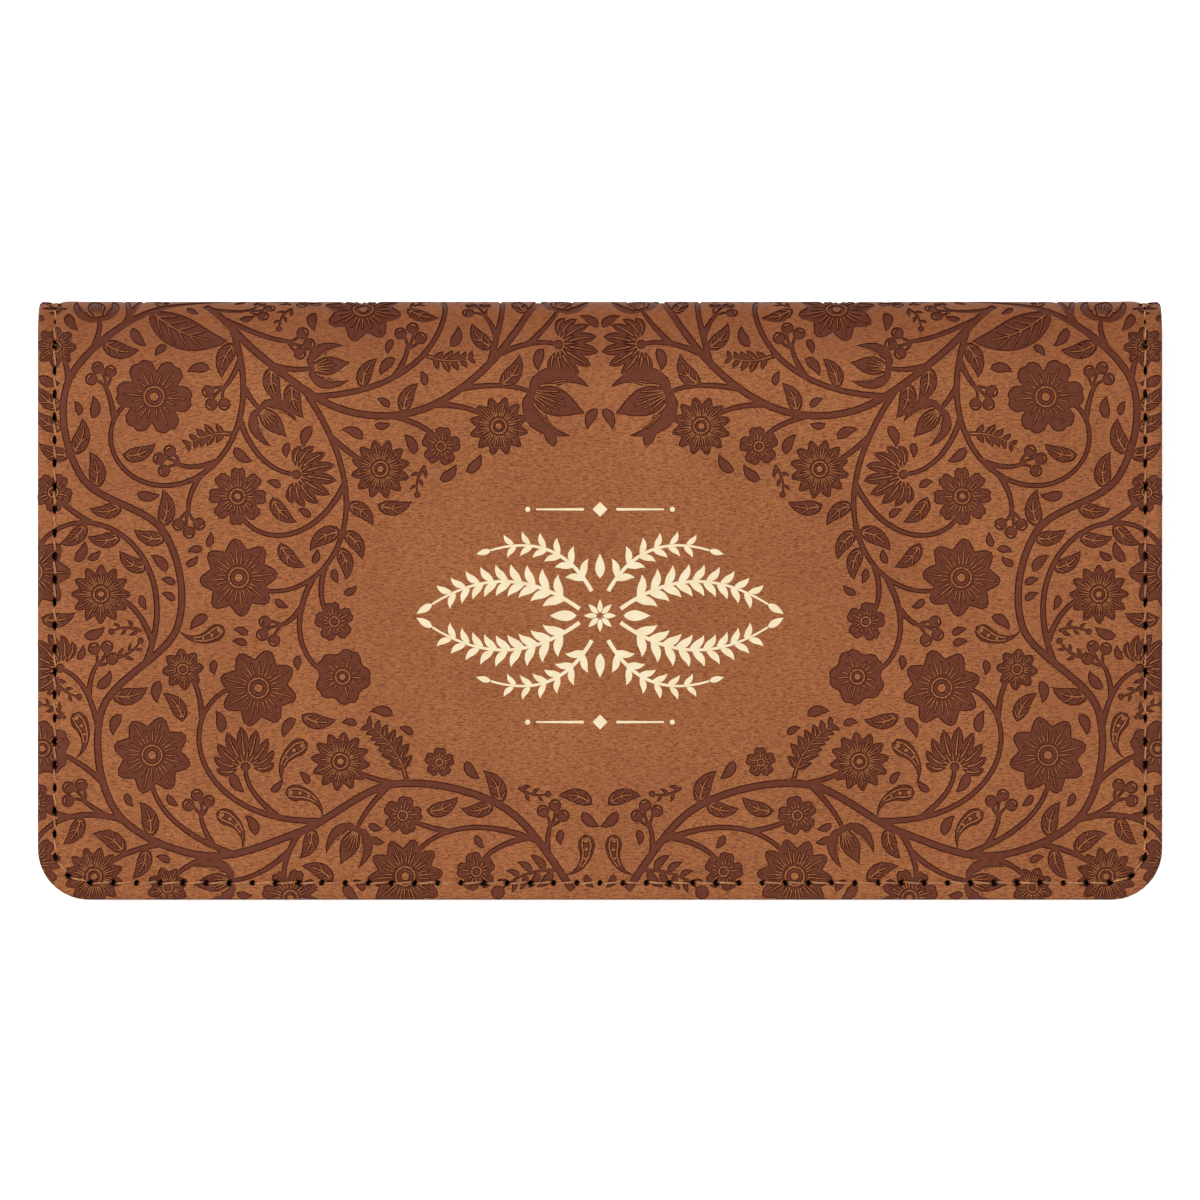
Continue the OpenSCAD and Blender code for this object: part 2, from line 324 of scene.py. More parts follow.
# %% A palmette
def fan(r, blades=9):
    """A palmette: blades that spread on both sides of the stem's direction."""
    shapes, discs = [], []
    for k in range(blades):
        lean = -1 + 2 * k / (blades - 1)
        a, reach, width = 1.43 * lean, r * (1 - 0.32 * abs(lean) ** 1.5), r * 0.27 * (1 - 0.25 * abs(lean))
        spine = curve((r * 0.2 * cos(a), r * 0.2 * sin(a)), (reach * cos(a), reach * sin(a)), 0.16 * lean, 12)
        swelling = (0.16, 0.3, 0.45, 0.6, 0.74, 0.86, 0.95, 1, 0.98, 0.88, 0.7, 0.42, 0)
        shapes.append(("press", stroke(spine, [width * w for w in swelling])))
        shapes.append(vein(spine[2:-2], 0.24))
        discs.append((reach * 0.75 * cos(a), reach * 0.75 * sin(a), width * 0.62))
    shapes.append(("press", circle(r * 0.07, 0, r * 0.11, 12)))
    return shapes, discs + [(r * 0.35, 0, r * 0.35)]

# %% A curled drop
def drop(r, length, side=1):
    """A curled drop with a raised rim and three dots."""
    n, path = 18, [(0, 0)]
    for i in range(n):
        a = side * radians(105 * (1 - i / n) ** 1.5 - 20)
        path.append((path[-1][0] + length / n * cos(a), path[-1][1] + length / n * sin(a)))
    widths = [2 * r * ((i / (n - 4)) ** 1.35 if i < n - 4 else sqrt(max(0, 1 - ((i - n + 4) / 4) ** 2)))
              for i in range(n + 1)]
    inner = path[7:-1]
    shapes = [("press", stroke(path, widths)),
              ("vein", stroke(inner, [w * 0.6 for w in widths[7:-1]])),
              ("press", stroke(inner, [max(w * 0.6 - 0.46, 0.05) for w in widths[7:-1]]))]
    shapes += [("vein", circle(*path[-3 - 3 * k], 0.3 * r * (1 - 0.2 * k), 8)) for k in range(3)]
    return shapes, [(*path[i], widths[i] / 2) for i in (4, 8, 11, 14, 16)]

# %% Berries
def berries(r, count=3):
    """Round berries on short stalks."""
    shapes, discs = [], []
    for k in range(count):
        a, reach = radians(-38 + 76 * k / (count - 1)), r * (3.3 if k % 2 else 2.6)
        u, v = reach * cos(a), reach * sin(a)
        glint = [(u + r * 0.58 * cos(a + 0.45 * j), v + r * 0.58 * sin(a + 0.45 * j)) for j in range(-2, 3)]
        shapes += [("press", tapered(curve((0, 0), (u, v), 0.12, 4), 0.5, 0.4)),
                   ("press", circle(u, v, r, 14)),
                   ("vein", stroke(glint, [0.05, 0.2, 0.24, 0.2, 0.05]))]
        discs.append((u, v, r))
    return shapes, discs


print("shapes in one motif of each kind:", [len(motif[0]) for motif in (
    leaf(12, 5), fern(12, 6), sprig(9), blossom(5, 6), tulip(8), fan(8), drop(1.2, 8), berries(0.9))])

# %% [markdown]
# ## The embossed pattern: layout
# The pattern is a climbing plant that is mirrored at the middle. Two main stems are listed point by point,
# and
# the rest grows: a branch starts anywhere on a stem, curls ever tighter to a flower, and stays only where
# it has room. A map of the free distance at each half millimetre makes that test quick.

# %% A sheet that knows where there is room
class Sheet:
    """Shapes on the right half of the flat sheet, each with its mirror image."""
    STEP, REACH = 0.5, 8.0

    def __init__(self):
        columns, rows = int(HALF / self.STEP) + 3, int(SHEET_V / self.STEP) + 3
        self.us, self.vs = np.arange(columns) * self.STEP, np.arange(rows) * self.STEP
        self.free = np.minimum(self.REACH, np.tile(self.us + 0.3, (rows, 1)))
        self.shapes = []

    def cover(self, discs):
        for u, v, r in discs:
            i0, i1 = (max(0, int((u + way * (r + self.REACH)) / self.STEP)) for way in (-1, 1))
            j0, j1 = (max(0, int((v + way * (r + self.REACH)) / self.STEP)) for way in (-1, 1))
            away = np.hypot(self.us[None, i0:i1] - u, self.vs[j0:j1, None] - v) - r
            part = self.free[j0:j1, i0:i1]
            np.minimum(part, away, out=part)

    def has_room(self, discs, gap):
        for u, v, r in discs:
            if not (0 < u < HALF + 1 and 0 < v < SHEET_V):
                return False
            if self.free[int(v / self.STEP + 0.5), int(u / self.STEP + 0.5)] < r + gap:
                return False
        return True

    def add(self, shapes):
        for kind, points in shapes:
            self.shapes.append((kind, points))
            self.shapes.append((kind, [(-u, v) for u, v in points]))

    def place(self, motif, u, v, turn, gap=None, stalk=None):
        """Adds a motif where its discs have room. With stalk, the discs near its root may touch the stem."""
        c, s = cos(turn), sin(turn)
        def move(x, y):
            return u + x * c - y * s, v + x * s + y * c
        discs = [(*move(x, y), r) for x, y, r in motif[1]]
        tested = discs
        if stalk is not None:
            tested = [d for d in discs if hypot(d[0] - u, d[1] - v) - d[2] * 0.6 > stalk]
            if not tested:
                return False
        if gap is not None and not self.has_room(tested, gap):
            return False
        self.cover(discs)
        self.add([(kind, [move(x, y) for x, y in points]) for kind, points in motif[0]])
        return True

    def stem(self, path, start, end):
        self.add([("press", tapered(path, start, end))])
        self.cover([(u, v, start / 2) for u, v in path[::2]])

# %% Lines that bend
def smooth_line(points, step=0.9):
    """A smooth line through given points (Catmull-Rom)."""
    ends = [points[0], *points, points[-1]]
    path = []
    for p0, p1, p2, p3 in zip(ends, ends[1:], ends[2:], ends[3:]):
        n = max(2, int(hypot(p2[0] - p1[0], p2[1] - p1[1]) / step))
        for t in (j / n for j in range(n)):
            path.append(tuple(0.5 * (2 * b + (c - a) * t + (2 * a - 5 * b + 4 * c - d) * t ** 2
                                     + (3 * b - a - 3 * c + d) * t ** 3)
                              for a, b, c, d in zip(p0, p1, p2, p3)))
    return path + [points[-1]]


def tendril(u, v, turn, length, bend_start, bend_end, step=0.8):
    """A line that curls tighter along its way, and its last direction. Bends are radians per mm."""
    path, n = [(u, v)], int(length / step)
    for i in range(n):
        turn += (bend_start + (bend_end - bend_start) * (i / n) ** 1.4) * step
        path.append((path[-1][0] + step * cos(turn), path[-1][1] + step * sin(turn)))
    return path, turn


# %% The clear oval and the two main stems
rng = random.Random(11)
sheet = Sheet()
CLEAR_CENTRE, CLEAR_HALF = (0, 41.7), (34, 24)
for k in range(-12, 13):
    half = CLEAR_HALF[0] * sqrt(max(0, 1 - (k / 12.5) ** 2))
    sheet.cover([(half * j / 18, CLEAR_CENTRE[1] + CLEAR_HALF[1] * k / 12.5, 1.0) for j in range(19)])

outer_stem = smooth_line([(4, 1.5), (14, 13.5), (30, 17), (44, 10), (58, 6.5), (71, 13), (73, 28),
                          (62, 40), (64, 54), (76, 62), (78, 76), (66, 87), (52, 92), (40, 100),
                          (36, 114), (46, 126), (60, 130), (72, 140), (70, 156), (56, 164), (42, 158),
                          (28, 160), (18, 172), (8, 181)])
inner_stem = smooth_line([(58, 88.5), (50, 80), (38, 72), (26, 72), (15, 80), (9, 92), (14, 106),
                          (24, 116), (20, 130), (8, 142), (10, 158)])
stems = [outer_stem, inner_stem]
for path in stems:
    sheet.stem(path, 1.15, 1.0)

# %% Branches that end in a flower
def rose(r, petals):
    return blossom(r, petals)


def daisy(r, petals):
    return blossom(r, petals, 0.26, 1.5)


def grow(parents, tries, length, bend_start, bend_end, flowers, gap):
    """Branches that end in a flower, kept where the branch and its flower have room."""
    made = 0
    for _ in range(tries):
        parent = rng.choice(parents)
        i = rng.randrange(2, len(parent) - 2)
        side = rng.choice((1, -1))
        turn = heading(parent, i) + side * rng.uniform(0.31, 0.6)
        path, end = tendril(*parent[i], turn, rng.uniform(*length), side * rng.uniform(*bend_start),
                            side * rng.uniform(*bend_end))
        flower = rng.choice(flowers)
        u, v = path[-1]
        c, s = cos(end), sin(end)
        spots = [(u + x * c - y * s, v + x * s + y * c, r) for x, y, r in flower[1]]
        away = [(x, y, 0.6) for x, y in path[::2] if hypot(x - path[0][0], y - path[0][1]) > 3.4]
        if not sheet.has_room(spots, gap) or not sheet.has_room(away, gap):
            continue
        if any(hypot(x - a, y - b) < r + 0.9 for x, y in path[:-9] for a, b, r in spots):
            continue
        sheet.stem(path, 0.95, 0.65)
        sheet.place(flower, u, v, end)
        stems.append(path)
        made += 1
    return made

# %% Grow the branches, large flowers first
BIG = [rose(5.8, 6), daisy(5.6, 10), rose(5.5, 5), daisy(5.8, 8), fan(8.5), rose(6.1, 8)]
MIDDLE = [rose(4.3, 5), daisy(4.4, 12), tulip(8.6), fan(6.4), rose(4.4, 8), tulip(7.6)]
SMALL = [rose(3.0, 5), tulip(5.8), daisy(3.1, 8), berries(0.95)]
counts = [grow(stems[:2], 9000, (34, 52), (0.01, 0.05), (0.14, 0.24), BIG, 0.9),
          grow(stems[:], 9000, (20, 34), (0, 0.07), (0.12, 0.24), BIG + MIDDLE, 0.8),
          grow(stems[:], 12000, (9, 20), (0, 0.07), (0.08, 0.22), MIDDLE, 0.7),
          grow(stems[:], 14000, (4, 11), (0, 0.08), (0.08, 0.3), SMALL, 0.6)]
print("branches by size", counts)

# %% Leaves on the stems, and small sprigs in the gaps
LEAVES = [[leaf(12.5, 5.2, 0.12), fern(12, 6.6, 0.13), leaf(11, 4.6, -0.14)],
          [leaf(8.6, 3.8, 0.14, 3), fern(8.5, 5, 0.12, 5), drop(1.25, 8)],
          [leaf(5.6, 2.6, 0.15, 2), berries(0.8), leaf(5, 2.3, -0.15, 2)]]
FILLERS = [([rose(3.6, 5), daisy(3.4, 10)], 2000, 0.5), ([sprig(9.5, 1, 4), drop(1.3, 8.5, -1)], 3000, 0.4),
           ([sprig(6.5, -1), rose(2.3, 5)], 5000, 0.4), ([leaf(5.2, 2.3, 0.14, 2)], 6000, 0.4),
           ([sprig(4.4, 1, 2)], 6000, 0.35), ([leaf(3.4, 1.6, 0.14, 0)], 8000, 0.35),
           ([leaf(2.3, 1.2, 0.14, 0)], 8000, 0.35)]
for menu in LEAVES:
    for path in stems:
        for i in range(2, len(path) - 2):
            for side in (1, -1):
                turn = heading(path, i) + side * rng.uniform(0.52, 1.0)
                sheet.place(rng.choice(menu), *path[i], turn, 0.42, 1.45)
for menu, tries, gap in FILLERS:
    for _ in range(tries):
        u, v, turn = rng.uniform(0, HALF), rng.uniform(0, SHEET_V), rng.uniform(0, 2 * pi)
        sheet.place(rng.choice(menu), u, v, turn, gap)
print(len(sheet.shapes), "shapes,", sum(len(points) for kind, points in sheet.shapes), "points")

# %% [markdown]
# ## The foil ornament
# The clear oval carries a generic stamp in pale gold foil: leafy sprays that are mirrored in both
# directions round a small flower, with a short rule and a diamond above and below. It could be a colour in
# the leather's material, but as shapes in the mesh it keeps crisp edges, and it is sunk a hair's breadth.

# %% Mirrored shapes and one petal
def quarters(points):
    """A shape and its mirror images in the four quarters round the ornament's middle."""
    u0, v0 = CLEAR_CENTRE
    return [("foil", [(u0 + a * u, v0 + b * v) for u, v in points]) for a in (1, -1) for b in (1, -1)]


def petal(u, v, turn, size, bend=0.14):
    tip = u + size * cos(radians(turn)), v + size * sin(radians(turn))
    widths = [size * 0.4 * sin(pi * (i / 8) ** 0.8) for i in range(9)]
    return stroke(curve((u, v), tip, bend, 8), widths)

# %% Sprays of foil leaves, and all the foil
def spray(start, end, bend, pairs, size):
    """A curved stem with leaves in pairs, and one at its tip."""
    mid = curve(start, end, bend, 24)
    shapes = quarters(tapered(mid, 0.6, 0.3))
    for k in range(pairs):
        t = 0.1 + 0.84 * k / pairs
        turn, reach = degrees(heading(mid, int(24 * t))), size * (1 - 0.35 * t)
        for side in (1, -1):
            u, v = beside(mid, t + 0.02 * (side > 0), side * 0.28)
            shapes += quarters(petal(u, v, turn + side * 46, reach, -side * 0.14))
    return shapes + quarters(petal(*mid[-1], degrees(heading(mid, 24)), size * 0.8, 0))


foil = spray((3, 1), (24.6, 1.7), 0.17, 9, 3.4) + spray((1.2, 3.6), (16, 9.6), 0.2, 6, 2.8)
foil += quarters(petal(3.4, 0, 0, 4, 0)) + quarters(petal(0, 5.5, 90, 3.6, 0))
for turn in range(0, 360, 45):
    foil += quarters(petal(0.4 * cos(radians(turn)), 0.4 * sin(radians(turn)), turn, 2.0, 0))[:1]
RULE_V = 15.6
foil += quarters([(1.1, RULE_V), (0, RULE_V + 1.1), (0, RULE_V - 1.1)])
foil += quarters(circle(10.6, RULE_V, 0.38, 10))
foil += quarters([(2.4, RULE_V - 0.2), (9.4, RULE_V - 0.12), (9.4, RULE_V + 0.12), (2.4, RULE_V + 0.2)])
print(len(foil), "foil shapes")

# %% [markdown]
# ## The seam
# One seam runs round the three free sides of both panels and over the two ends of the fold. Its stitches
# could be an array along a curve, but they have to lie where the CAD's stitches are: 3.4 mm apart along
# each panel, and one every 30 degrees round the fold. So one formula gives every place. A needle hole lies
# between each two stitches.

# %% The line of the seam
PITCH, SEAM_INSET, FOLD_STITCHES = 3.4, 2.5, 6
SEAM_U, SEAM_CORNER = HALF - SEAM_INSET, CORNER_RADIUS - SEAM_INSET
STRAIGHT, BEND = SEAM_U - SEAM_CORNER, SEAM_CORNER * pi / 2
PANEL_STITCHES = int((STRAIGHT + BEND + FRONT_V - CORNER_RADIUS) / PITCH)
FOLD_PITCH = pi * FOLD_RADIUS / FOLD_STITCHES


def seam_point(s):
    """The seam's place and direction at s millimetres from the front's middle, on the right half."""
    if s < STRAIGHT:
        return s, SEAM_INSET, 0.0
    if s < STRAIGHT + BEND:
        a = (s - STRAIGHT) / SEAM_CORNER
        return STRAIGHT + SEAM_CORNER * sin(a), CORNER_RADIUS - SEAM_CORNER * cos(a), a
    return SEAM_U, CORNER_RADIUS + s - STRAIGHT - BEND, pi / 2

# %% Stitch and hole places
whole = 2 * (STRAIGHT + BEND + FRONT_V - CORNER_RADIUS) + pi * FOLD_RADIUS
stitch_s = [(i + 0.5) * PITCH for i in range(PANEL_STITCHES)]
stitch_s += [whole / 2 + (i - (FOLD_STITCHES - 1) / 2) * FOLD_PITCH for i in range(FOLD_STITCHES // 2)]
stitch_s += [whole - s for s in reversed(stitch_s)]
hole_s = [0] + [(a + b) / 2 for a, b in zip(stitch_s, stitch_s[1:])] + [whole]


def seam_place(s):
    """seam_point for the whole right half, from the front's middle over the fold to the back's middle."""
    if s <= whole / 2:
        return seam_point(s)
    u, v, a = seam_point(whole - s)
    return u, SHEET_V - v, pi - a


hole_places = [seam_place(s) for s in hole_s]
hole_places += [(-u, v, pi - a) for u, v, a in hole_places[1:-1]]
print(len(stitch_s), "stitches and", len(hole_s), "holes on each half, the last stitch on the front at v",
      round(seam_place(stitch_s[PANEL_STITCHES - 1])[1], 2))

# %% Needle holes
def needle_hole(u, v, turn):
    """A ragged hole, pointed along the seam. The thread has pulled those on the sides longer and narrower,
    and those on the fold stay small."""
    size = 0.6 if FRONT_V < v < SHEET_V - FRONT_V else 1.0
    along, across, points = 0.5 + 0.3 * abs(sin(turn)), 0.46 - 0.14 * abs(sin(turn)), []
    for k in range(10):
        a, r = 2 * pi * k / 10, size * rng.uniform(0.85, 1.12)
        x, y = along * r * cos(a), across * r * sin(a) * abs(sin(a)) ** 0.5
        points.append((u + x * cos(turn) - y * sin(turn), v + x * sin(turn) + y * cos(turn)))
    return "hole", points


holes = [needle_hole(*place) for place in hole_places]
print(len(holes), "needle holes")

# %% [markdown]
# ## From shapes to a sheet of leather
# A Delaunay triangulation takes the sheet's outline, the fold's rows and every motif as fixed edges, so
# one mesh holds them all. Each triangle takes the kind of the last shape drawn over it. The pressed
# triangles are then inset as one region, which gives them walls, and sunk. A displacement map could emboss
# the leather too, but its steps would be as coarse as the mesh. A shell is closed by drawing its rim down
# and filling the other face from that rim, with no shapes in it.

# %% Triangulate a flat outline with shapes in it
def inside(points, polygon):
    """Which points lie inside a polygon, by counting the edges that a line to the right crosses."""
    u, v = points[:, 0, None], points[:, 1, None]
    a = np.array(polygon)
    b = np.roll(a, -1, axis=0)
    rise = np.where(b[:, 1] == a[:, 1], 1e-12, b[:, 1] - a[:, 1])
    crosses = (a[:, 1] > v) != (b[:, 1] > v)
    reach = a[:, 0] + (v - a[:, 1]) / rise * (b[:, 0] - a[:, 0])
    return (crosses & (u < reach)).sum(axis=1) % 2 == 1


def triangulate(outline, lines=(), shapes=(), points=()):
    """Vertices and triangles inside the outline, and for each triangle the kind of the last shape over it."""
    verts, edges = [], []
    for run, closed in [(outline, True)] + [(line, False) for line in lines] + [(s, True) for _, s in shapes]:
        first = len(verts)
        verts += [Vector(p) for p in run]
        edges += [(i, i + 1) for i in range(first, len(verts) - 1)]
        if closed:
            edges.append((len(verts) - 1, first))
    verts += [Vector(p) for p in points]
    out, _, triangles, source, _, _ = delaunay_2d_cdt(verts, edges, [], 0, 0.004, True)
    flat = np.array([tuple(p) for p in out])
    triangles = np.array(triangles)
    triangles = triangles[inside(flat[triangles].mean(axis=1), outline)]
    middles = flat[triangles].mean(axis=1)
    order = np.argsort(middles[:, 1])
    heights, kinds = middles[order, 1], np.full(len(triangles), "plain", dtype=object)
    for kind, shape in shapes:
        vs = [v for _, v in shape]
        chosen = order[np.searchsorted(heights, min(vs)):np.searchsorted(heights, max(vs))]
        us = [u for u, _ in shape]
        chosen = chosen[(middles[chosen, 0] > min(us)) & (middles[chosen, 0] < max(us))]
        kinds[chosen[inside(middles[chosen], shape)]] = kind
    return out, triangles.tolist(), kinds, source

# %% Rows for the fold
def near(shape, low, high):
    vs = [v for _, v in shape[1]]
    return min(vs) < high and max(vs) > low


def rows_between(low, high):
    """Lines across the fold, just under half a millimetre apart, with a narrow row along each cut."""
    start, end, n = FRONT_V, SHEET_V - FRONT_V, 42
    vs = {low + 0.12, high - 0.12, start - 0.5, start - 1.2, end + 0.5, end + 1.2}
    vs |= {start + (end - start) * i / n for i in range(n + 1)}
    return [row(v) for v in sorted(vs) if low < v < high and min(v - low, high - v) > 0.1]


# %% Sink one kind of shape
def sink(bm, index, wall, depth, slope, heights):
    """Gives the faces of one material walls, and takes them down by depth."""
    faces = [f for f in bm.faces if f.material_index == index]
    if not faces:
        return
    ring = bmesh.ops.inset_region(bm, faces=faces, thickness=0.01, use_boundary=False)["faces"]
    inside = set(f for f in bm.faces if f.material_index == index) - set(ring)
    rim = set(v for f in ring for v in f.verts) & set(v for f in inside for v in f.verts)
    outer = {}
    for f in ring:
        f.material_index = wall
        for e in f.edges:
            a, b = e.verts
            if (a in rim) != (b in rim):
                outer[a if a in rim else b] = b if a in rim else a
    moves = {}
    for v, partner in outer.items():
        across = [e.calc_length() for e in v.link_edges if all(f in inside for f in e.link_faces)]
        way = v.co - partner.co
        for e in v.link_edges:
            if e.is_boundary and e.other_vert(v) is not partner:
                way = e.other_vert(v).co - partner.co
        if way.length > 1e-6 and across:
            moves[v] = partner.co + way.normalized() * min(slope, 0.33 * min(across))
    for v, co in moves.items():
        v.co = co
    for v in set(v for f in inside for v in f.verts):
        heights[v] = heights.get(v, 0.0) - depth

# %% The upper face of a shell
def flat_sheet(outline, lines, shapes, points, kinds, sunk):
    """The upper face of a shell, still flat, and how far its sunk vertices go down."""
    verts, triangles, covers, _ = triangulate(outline, lines, shapes, points)
    bm = bmesh.new()
    made = [bm.verts.new((u, v, 0)) for u, v in verts]
    index = {kind: i for i, kind in enumerate(kinds)}
    for triangle, cover in zip(triangles, covers):
        f = bm.faces.new([made[i] for i in triangle])
        f.material_index = index.get(cover, 0)
    bmesh.ops.delete(bm, geom=[v for v in bm.verts if not v.link_faces], context="VERTS")
    bmesh.ops.dissolve_degenerate(bm, dist=0.002, edges=bm.edges[:])
    heights = {}
    for kind, wall, depth, slope in sunk:
        sink(bm, index[kind], wall, depth, slope, heights)
    return bm, heights

# %% Its rim and its back
def close_below(bm, top, rows, rim_material, back_material):
    """Draws the rim of a flat sheet down, and fills the back from it."""
    rim = order_loop([e for e in bm.edges if e.is_boundary])
    grown = bmesh.ops.extrude_edge_only(bm, edges=[e for e in bm.edges if e.is_boundary])["geom"]
    lower = {}
    for f in (g for g in grown if isinstance(g, bmesh.types.BMFace)):
        f.material_index = rim_material
        for e in f.edges:
            a, b = e.verts
            if (a in top) != (b in top):
                lower[a if a in top else b] = b if a in top else a
    loop = [lower[v] for v in rim]
    flat, triangles, _, source = triangulate([(v.co.x, v.co.y) for v in loop], rows)
    bottom = {}
    for i, ids in enumerate(source):
        first = [k for k in ids if k < len(loop)]
        bottom[i] = loop[first[0]] if first else bm.verts.new((*flat[i], 0))
    for triangle in triangles:
        corners = [bottom[i] for i in triangle]
        if len(set(corners)) == 3 and not bm.faces.get(corners):
            f = bm.faces.new(corners)
            f.material_index = back_material

# %% A whole shell, bent round the fold
UV_MM = 200


def shell(name, outline, face, back, materials, lines=(), shapes=(), points=(), kinds=("plain",), sunk=(),
          place=folded):
    """A closed sheet between two heights, face and back, each a function of u and v. Its last two
    materials are for the rim and the back."""
    bm, heights = flat_sheet(outline, lines, shapes, points, kinds, sunk)
    top = {v: heights.get(v, 0.0) for v in bm.verts}
    straight = [line for line in lines if line[0][1] == line[len(line) // 2][1]]
    close_below(bm, top, straight, len(materials) - 2, len(materials) - 1)
    uv = bm.loops.layers.uv.new("sheet")
    for f in bm.faces:
        for corner in f.loops:
            corner[uv].uv = (corner.vert.co.x / UV_MM + 0.5, corner.vert.co.y / UV_MM)
    for v in bm.verts:
        u, w = v.co.x, v.co.y
        v.co = place(u, w, face(u, w) + top[v] if v in top else back(u, w))
    bmesh.ops.delete(bm, geom=[v for v in bm.verts if not v.link_faces], context="VERTS")
    bmesh.ops.recalc_face_normals(bm, faces=bm.faces[:])
    return finish_mesh(name, bm, materials)

# %% Order a rim, and finish a mesh
def order_loop(edges):
    """The vertices of a closed run of edges, in order."""
    links = {}
    for e in edges:
        for v in e.verts:
            links.setdefault(v, []).append(e.other_vert(v))
    start = next(iter(links))
    loop, last, here = [start], None, start
    while True:
        onward = [v for v in links[here] if v is not last]
        last, here = here, onward[0]
        if here is start:
            return loop
        loop.append(here)


def finish_mesh(name, bm, materials, angle=32):
    """Writes a bmesh to an object with smooth faces and sharp creases."""
    mesh = bpy.data.meshes.new(name)
    open_edges = sum(1 for e in bm.edges if not e.is_manifold)
    bm.to_mesh(mesh)
    bm.free()
    for m in materials:
        mesh.materials.append(m)
    mesh.shade_smooth()
    mesh.set_sharp_from_angle(angle=radians(angle))
    obj = bpy.data.objects.new(name, mesh)
    bpy.context.scene.collection.objects.link(obj)
    print(f"{name}: {len(mesh.polygons)} faces, {open_edges} open edges")
    return obj


# %% [markdown]
# ## Materials
# The skin is faux leather: a printed, pressed plastic face on a knitted backing, with a fine grain, cloudy
# colour and short fibre marks. A photo texture would be quick, but it wouldn't fit every size, so noise
# makes all of it. The leather reads the sheet's own UV, in millimetres after a scale of 200, so the grain
# stays on the skin when the cover opens.

# %% Node helpers
def new_material(name, roughness, specular=0.5, **sockets):
    material = bpy.data.materials.new(name)
    material.use_nodes = True
    shader = material.node_tree.nodes["Principled BSDF"]
    shader.inputs["Roughness"].default_value = roughness
    shader.inputs["Specular IOR Level"].default_value = specular
    for socket, value in sockets.items():
        shader.inputs[socket.replace("_", " ")].default_value = value
    return material, material.node_tree, shader


def add(tree, kind, inputs=(), **settings):
    node = tree.nodes.new(kind)
    for key, value in settings.items():
        setattr(node, key, value)
    for socket, value in dict(inputs).items():
        if isinstance(value, bpy.types.NodeSocket):
            tree.links.new(value, node.inputs[socket])
        else:
            node.inputs[socket].default_value = value
    return node


def sheet_mm(tree, stretch=(1, 1, 1)):
    """The sheet's own coordinates in millimetres."""
    uv = add(tree, "ShaderNodeUVMap", uv_map="sheet")
    return add(tree, "ShaderNodeMapping",
               {"Vector": uv.outputs[0], "Scale": [UV_MM * s for s in stretch]}).outputs[0]


def object_mm(tree, stretch=(1, 1, 1)):
    coords = add(tree, "ShaderNodeTexCoord")
    return add(tree, "ShaderNodeMapping",
               {"Vector": coords.outputs["Object"], "Scale": [1000 * s for s in stretch]}).outputs[0]

# %% Patterns and mixes
def noise(tree, vector, scale, detail=3, rough=0.55, distortion=0.0):
    return add(tree, "ShaderNodeTexNoise", {"Vector": vector, "Scale": scale, "Detail": detail,
                                            "Roughness": rough, "Distortion": distortion}).outputs["Fac"]


def spread(tree, value, low, high, to_low=0.0, to_high=1.0):
    return add(tree, "ShaderNodeMapRange", {"Value": value, "From Min": low, "From Max": high,
                                            "To Min": to_low, "To Max": to_high}).outputs[0]


def mixed(tree, factor, a, b, blend="MIX"):
    node = add(tree, "ShaderNodeMix", data_type="RGBA", blend_type=blend)
    for i, value in ((0, factor), (6, a), (7, b)):
        if isinstance(value, bpy.types.NodeSocket):
            tree.links.new(value, node.inputs[i])
        else:
            node.inputs[i].default_value = value
    return node.outputs[2]


def bump(tree, height, strength, distance, below=None):
    inputs = {"Height": height, "Strength": strength, "Distance": distance}
    if below is not None:
        inputs["Normal"] = below
    return add(tree, "ShaderNodeBump", inputs).outputs[0]

# %% Colours and the painted shade of the fold
def surface(tree, shader, colour, normal):
    tree.links.new(colour, shader.inputs["Base Color"])
    tree.links.new(normal, shader.inputs["Normal"])


def srgb(r, g, b):
    """An 8-bit screen colour as a linear one."""
    return (*((c / 255 / 12.92 if c <= 10 else ((c / 255 + 0.055) / 1.055) ** 2.4) for c in (r, g, b)), 1)


def fold_painted_shade(tree, mm):
    """1 over the fold and 0 on the panels: painted shade, which darkens the leather where it curves round the
    fold.
    """
    v = add(tree, "ShaderNodeSeparateXYZ", {"Vector": mm}).outputs["Y"]
    off = add(tree, "ShaderNodeMath", {0: v, 1: SHEET_V / 2}, operation="SUBTRACT").outputs[0]
    away = add(tree, "ShaderNodeMath", {0: off}, operation="ABSOLUTE").outputs[0]
    return spread(tree, away, 14.5, 9.0)

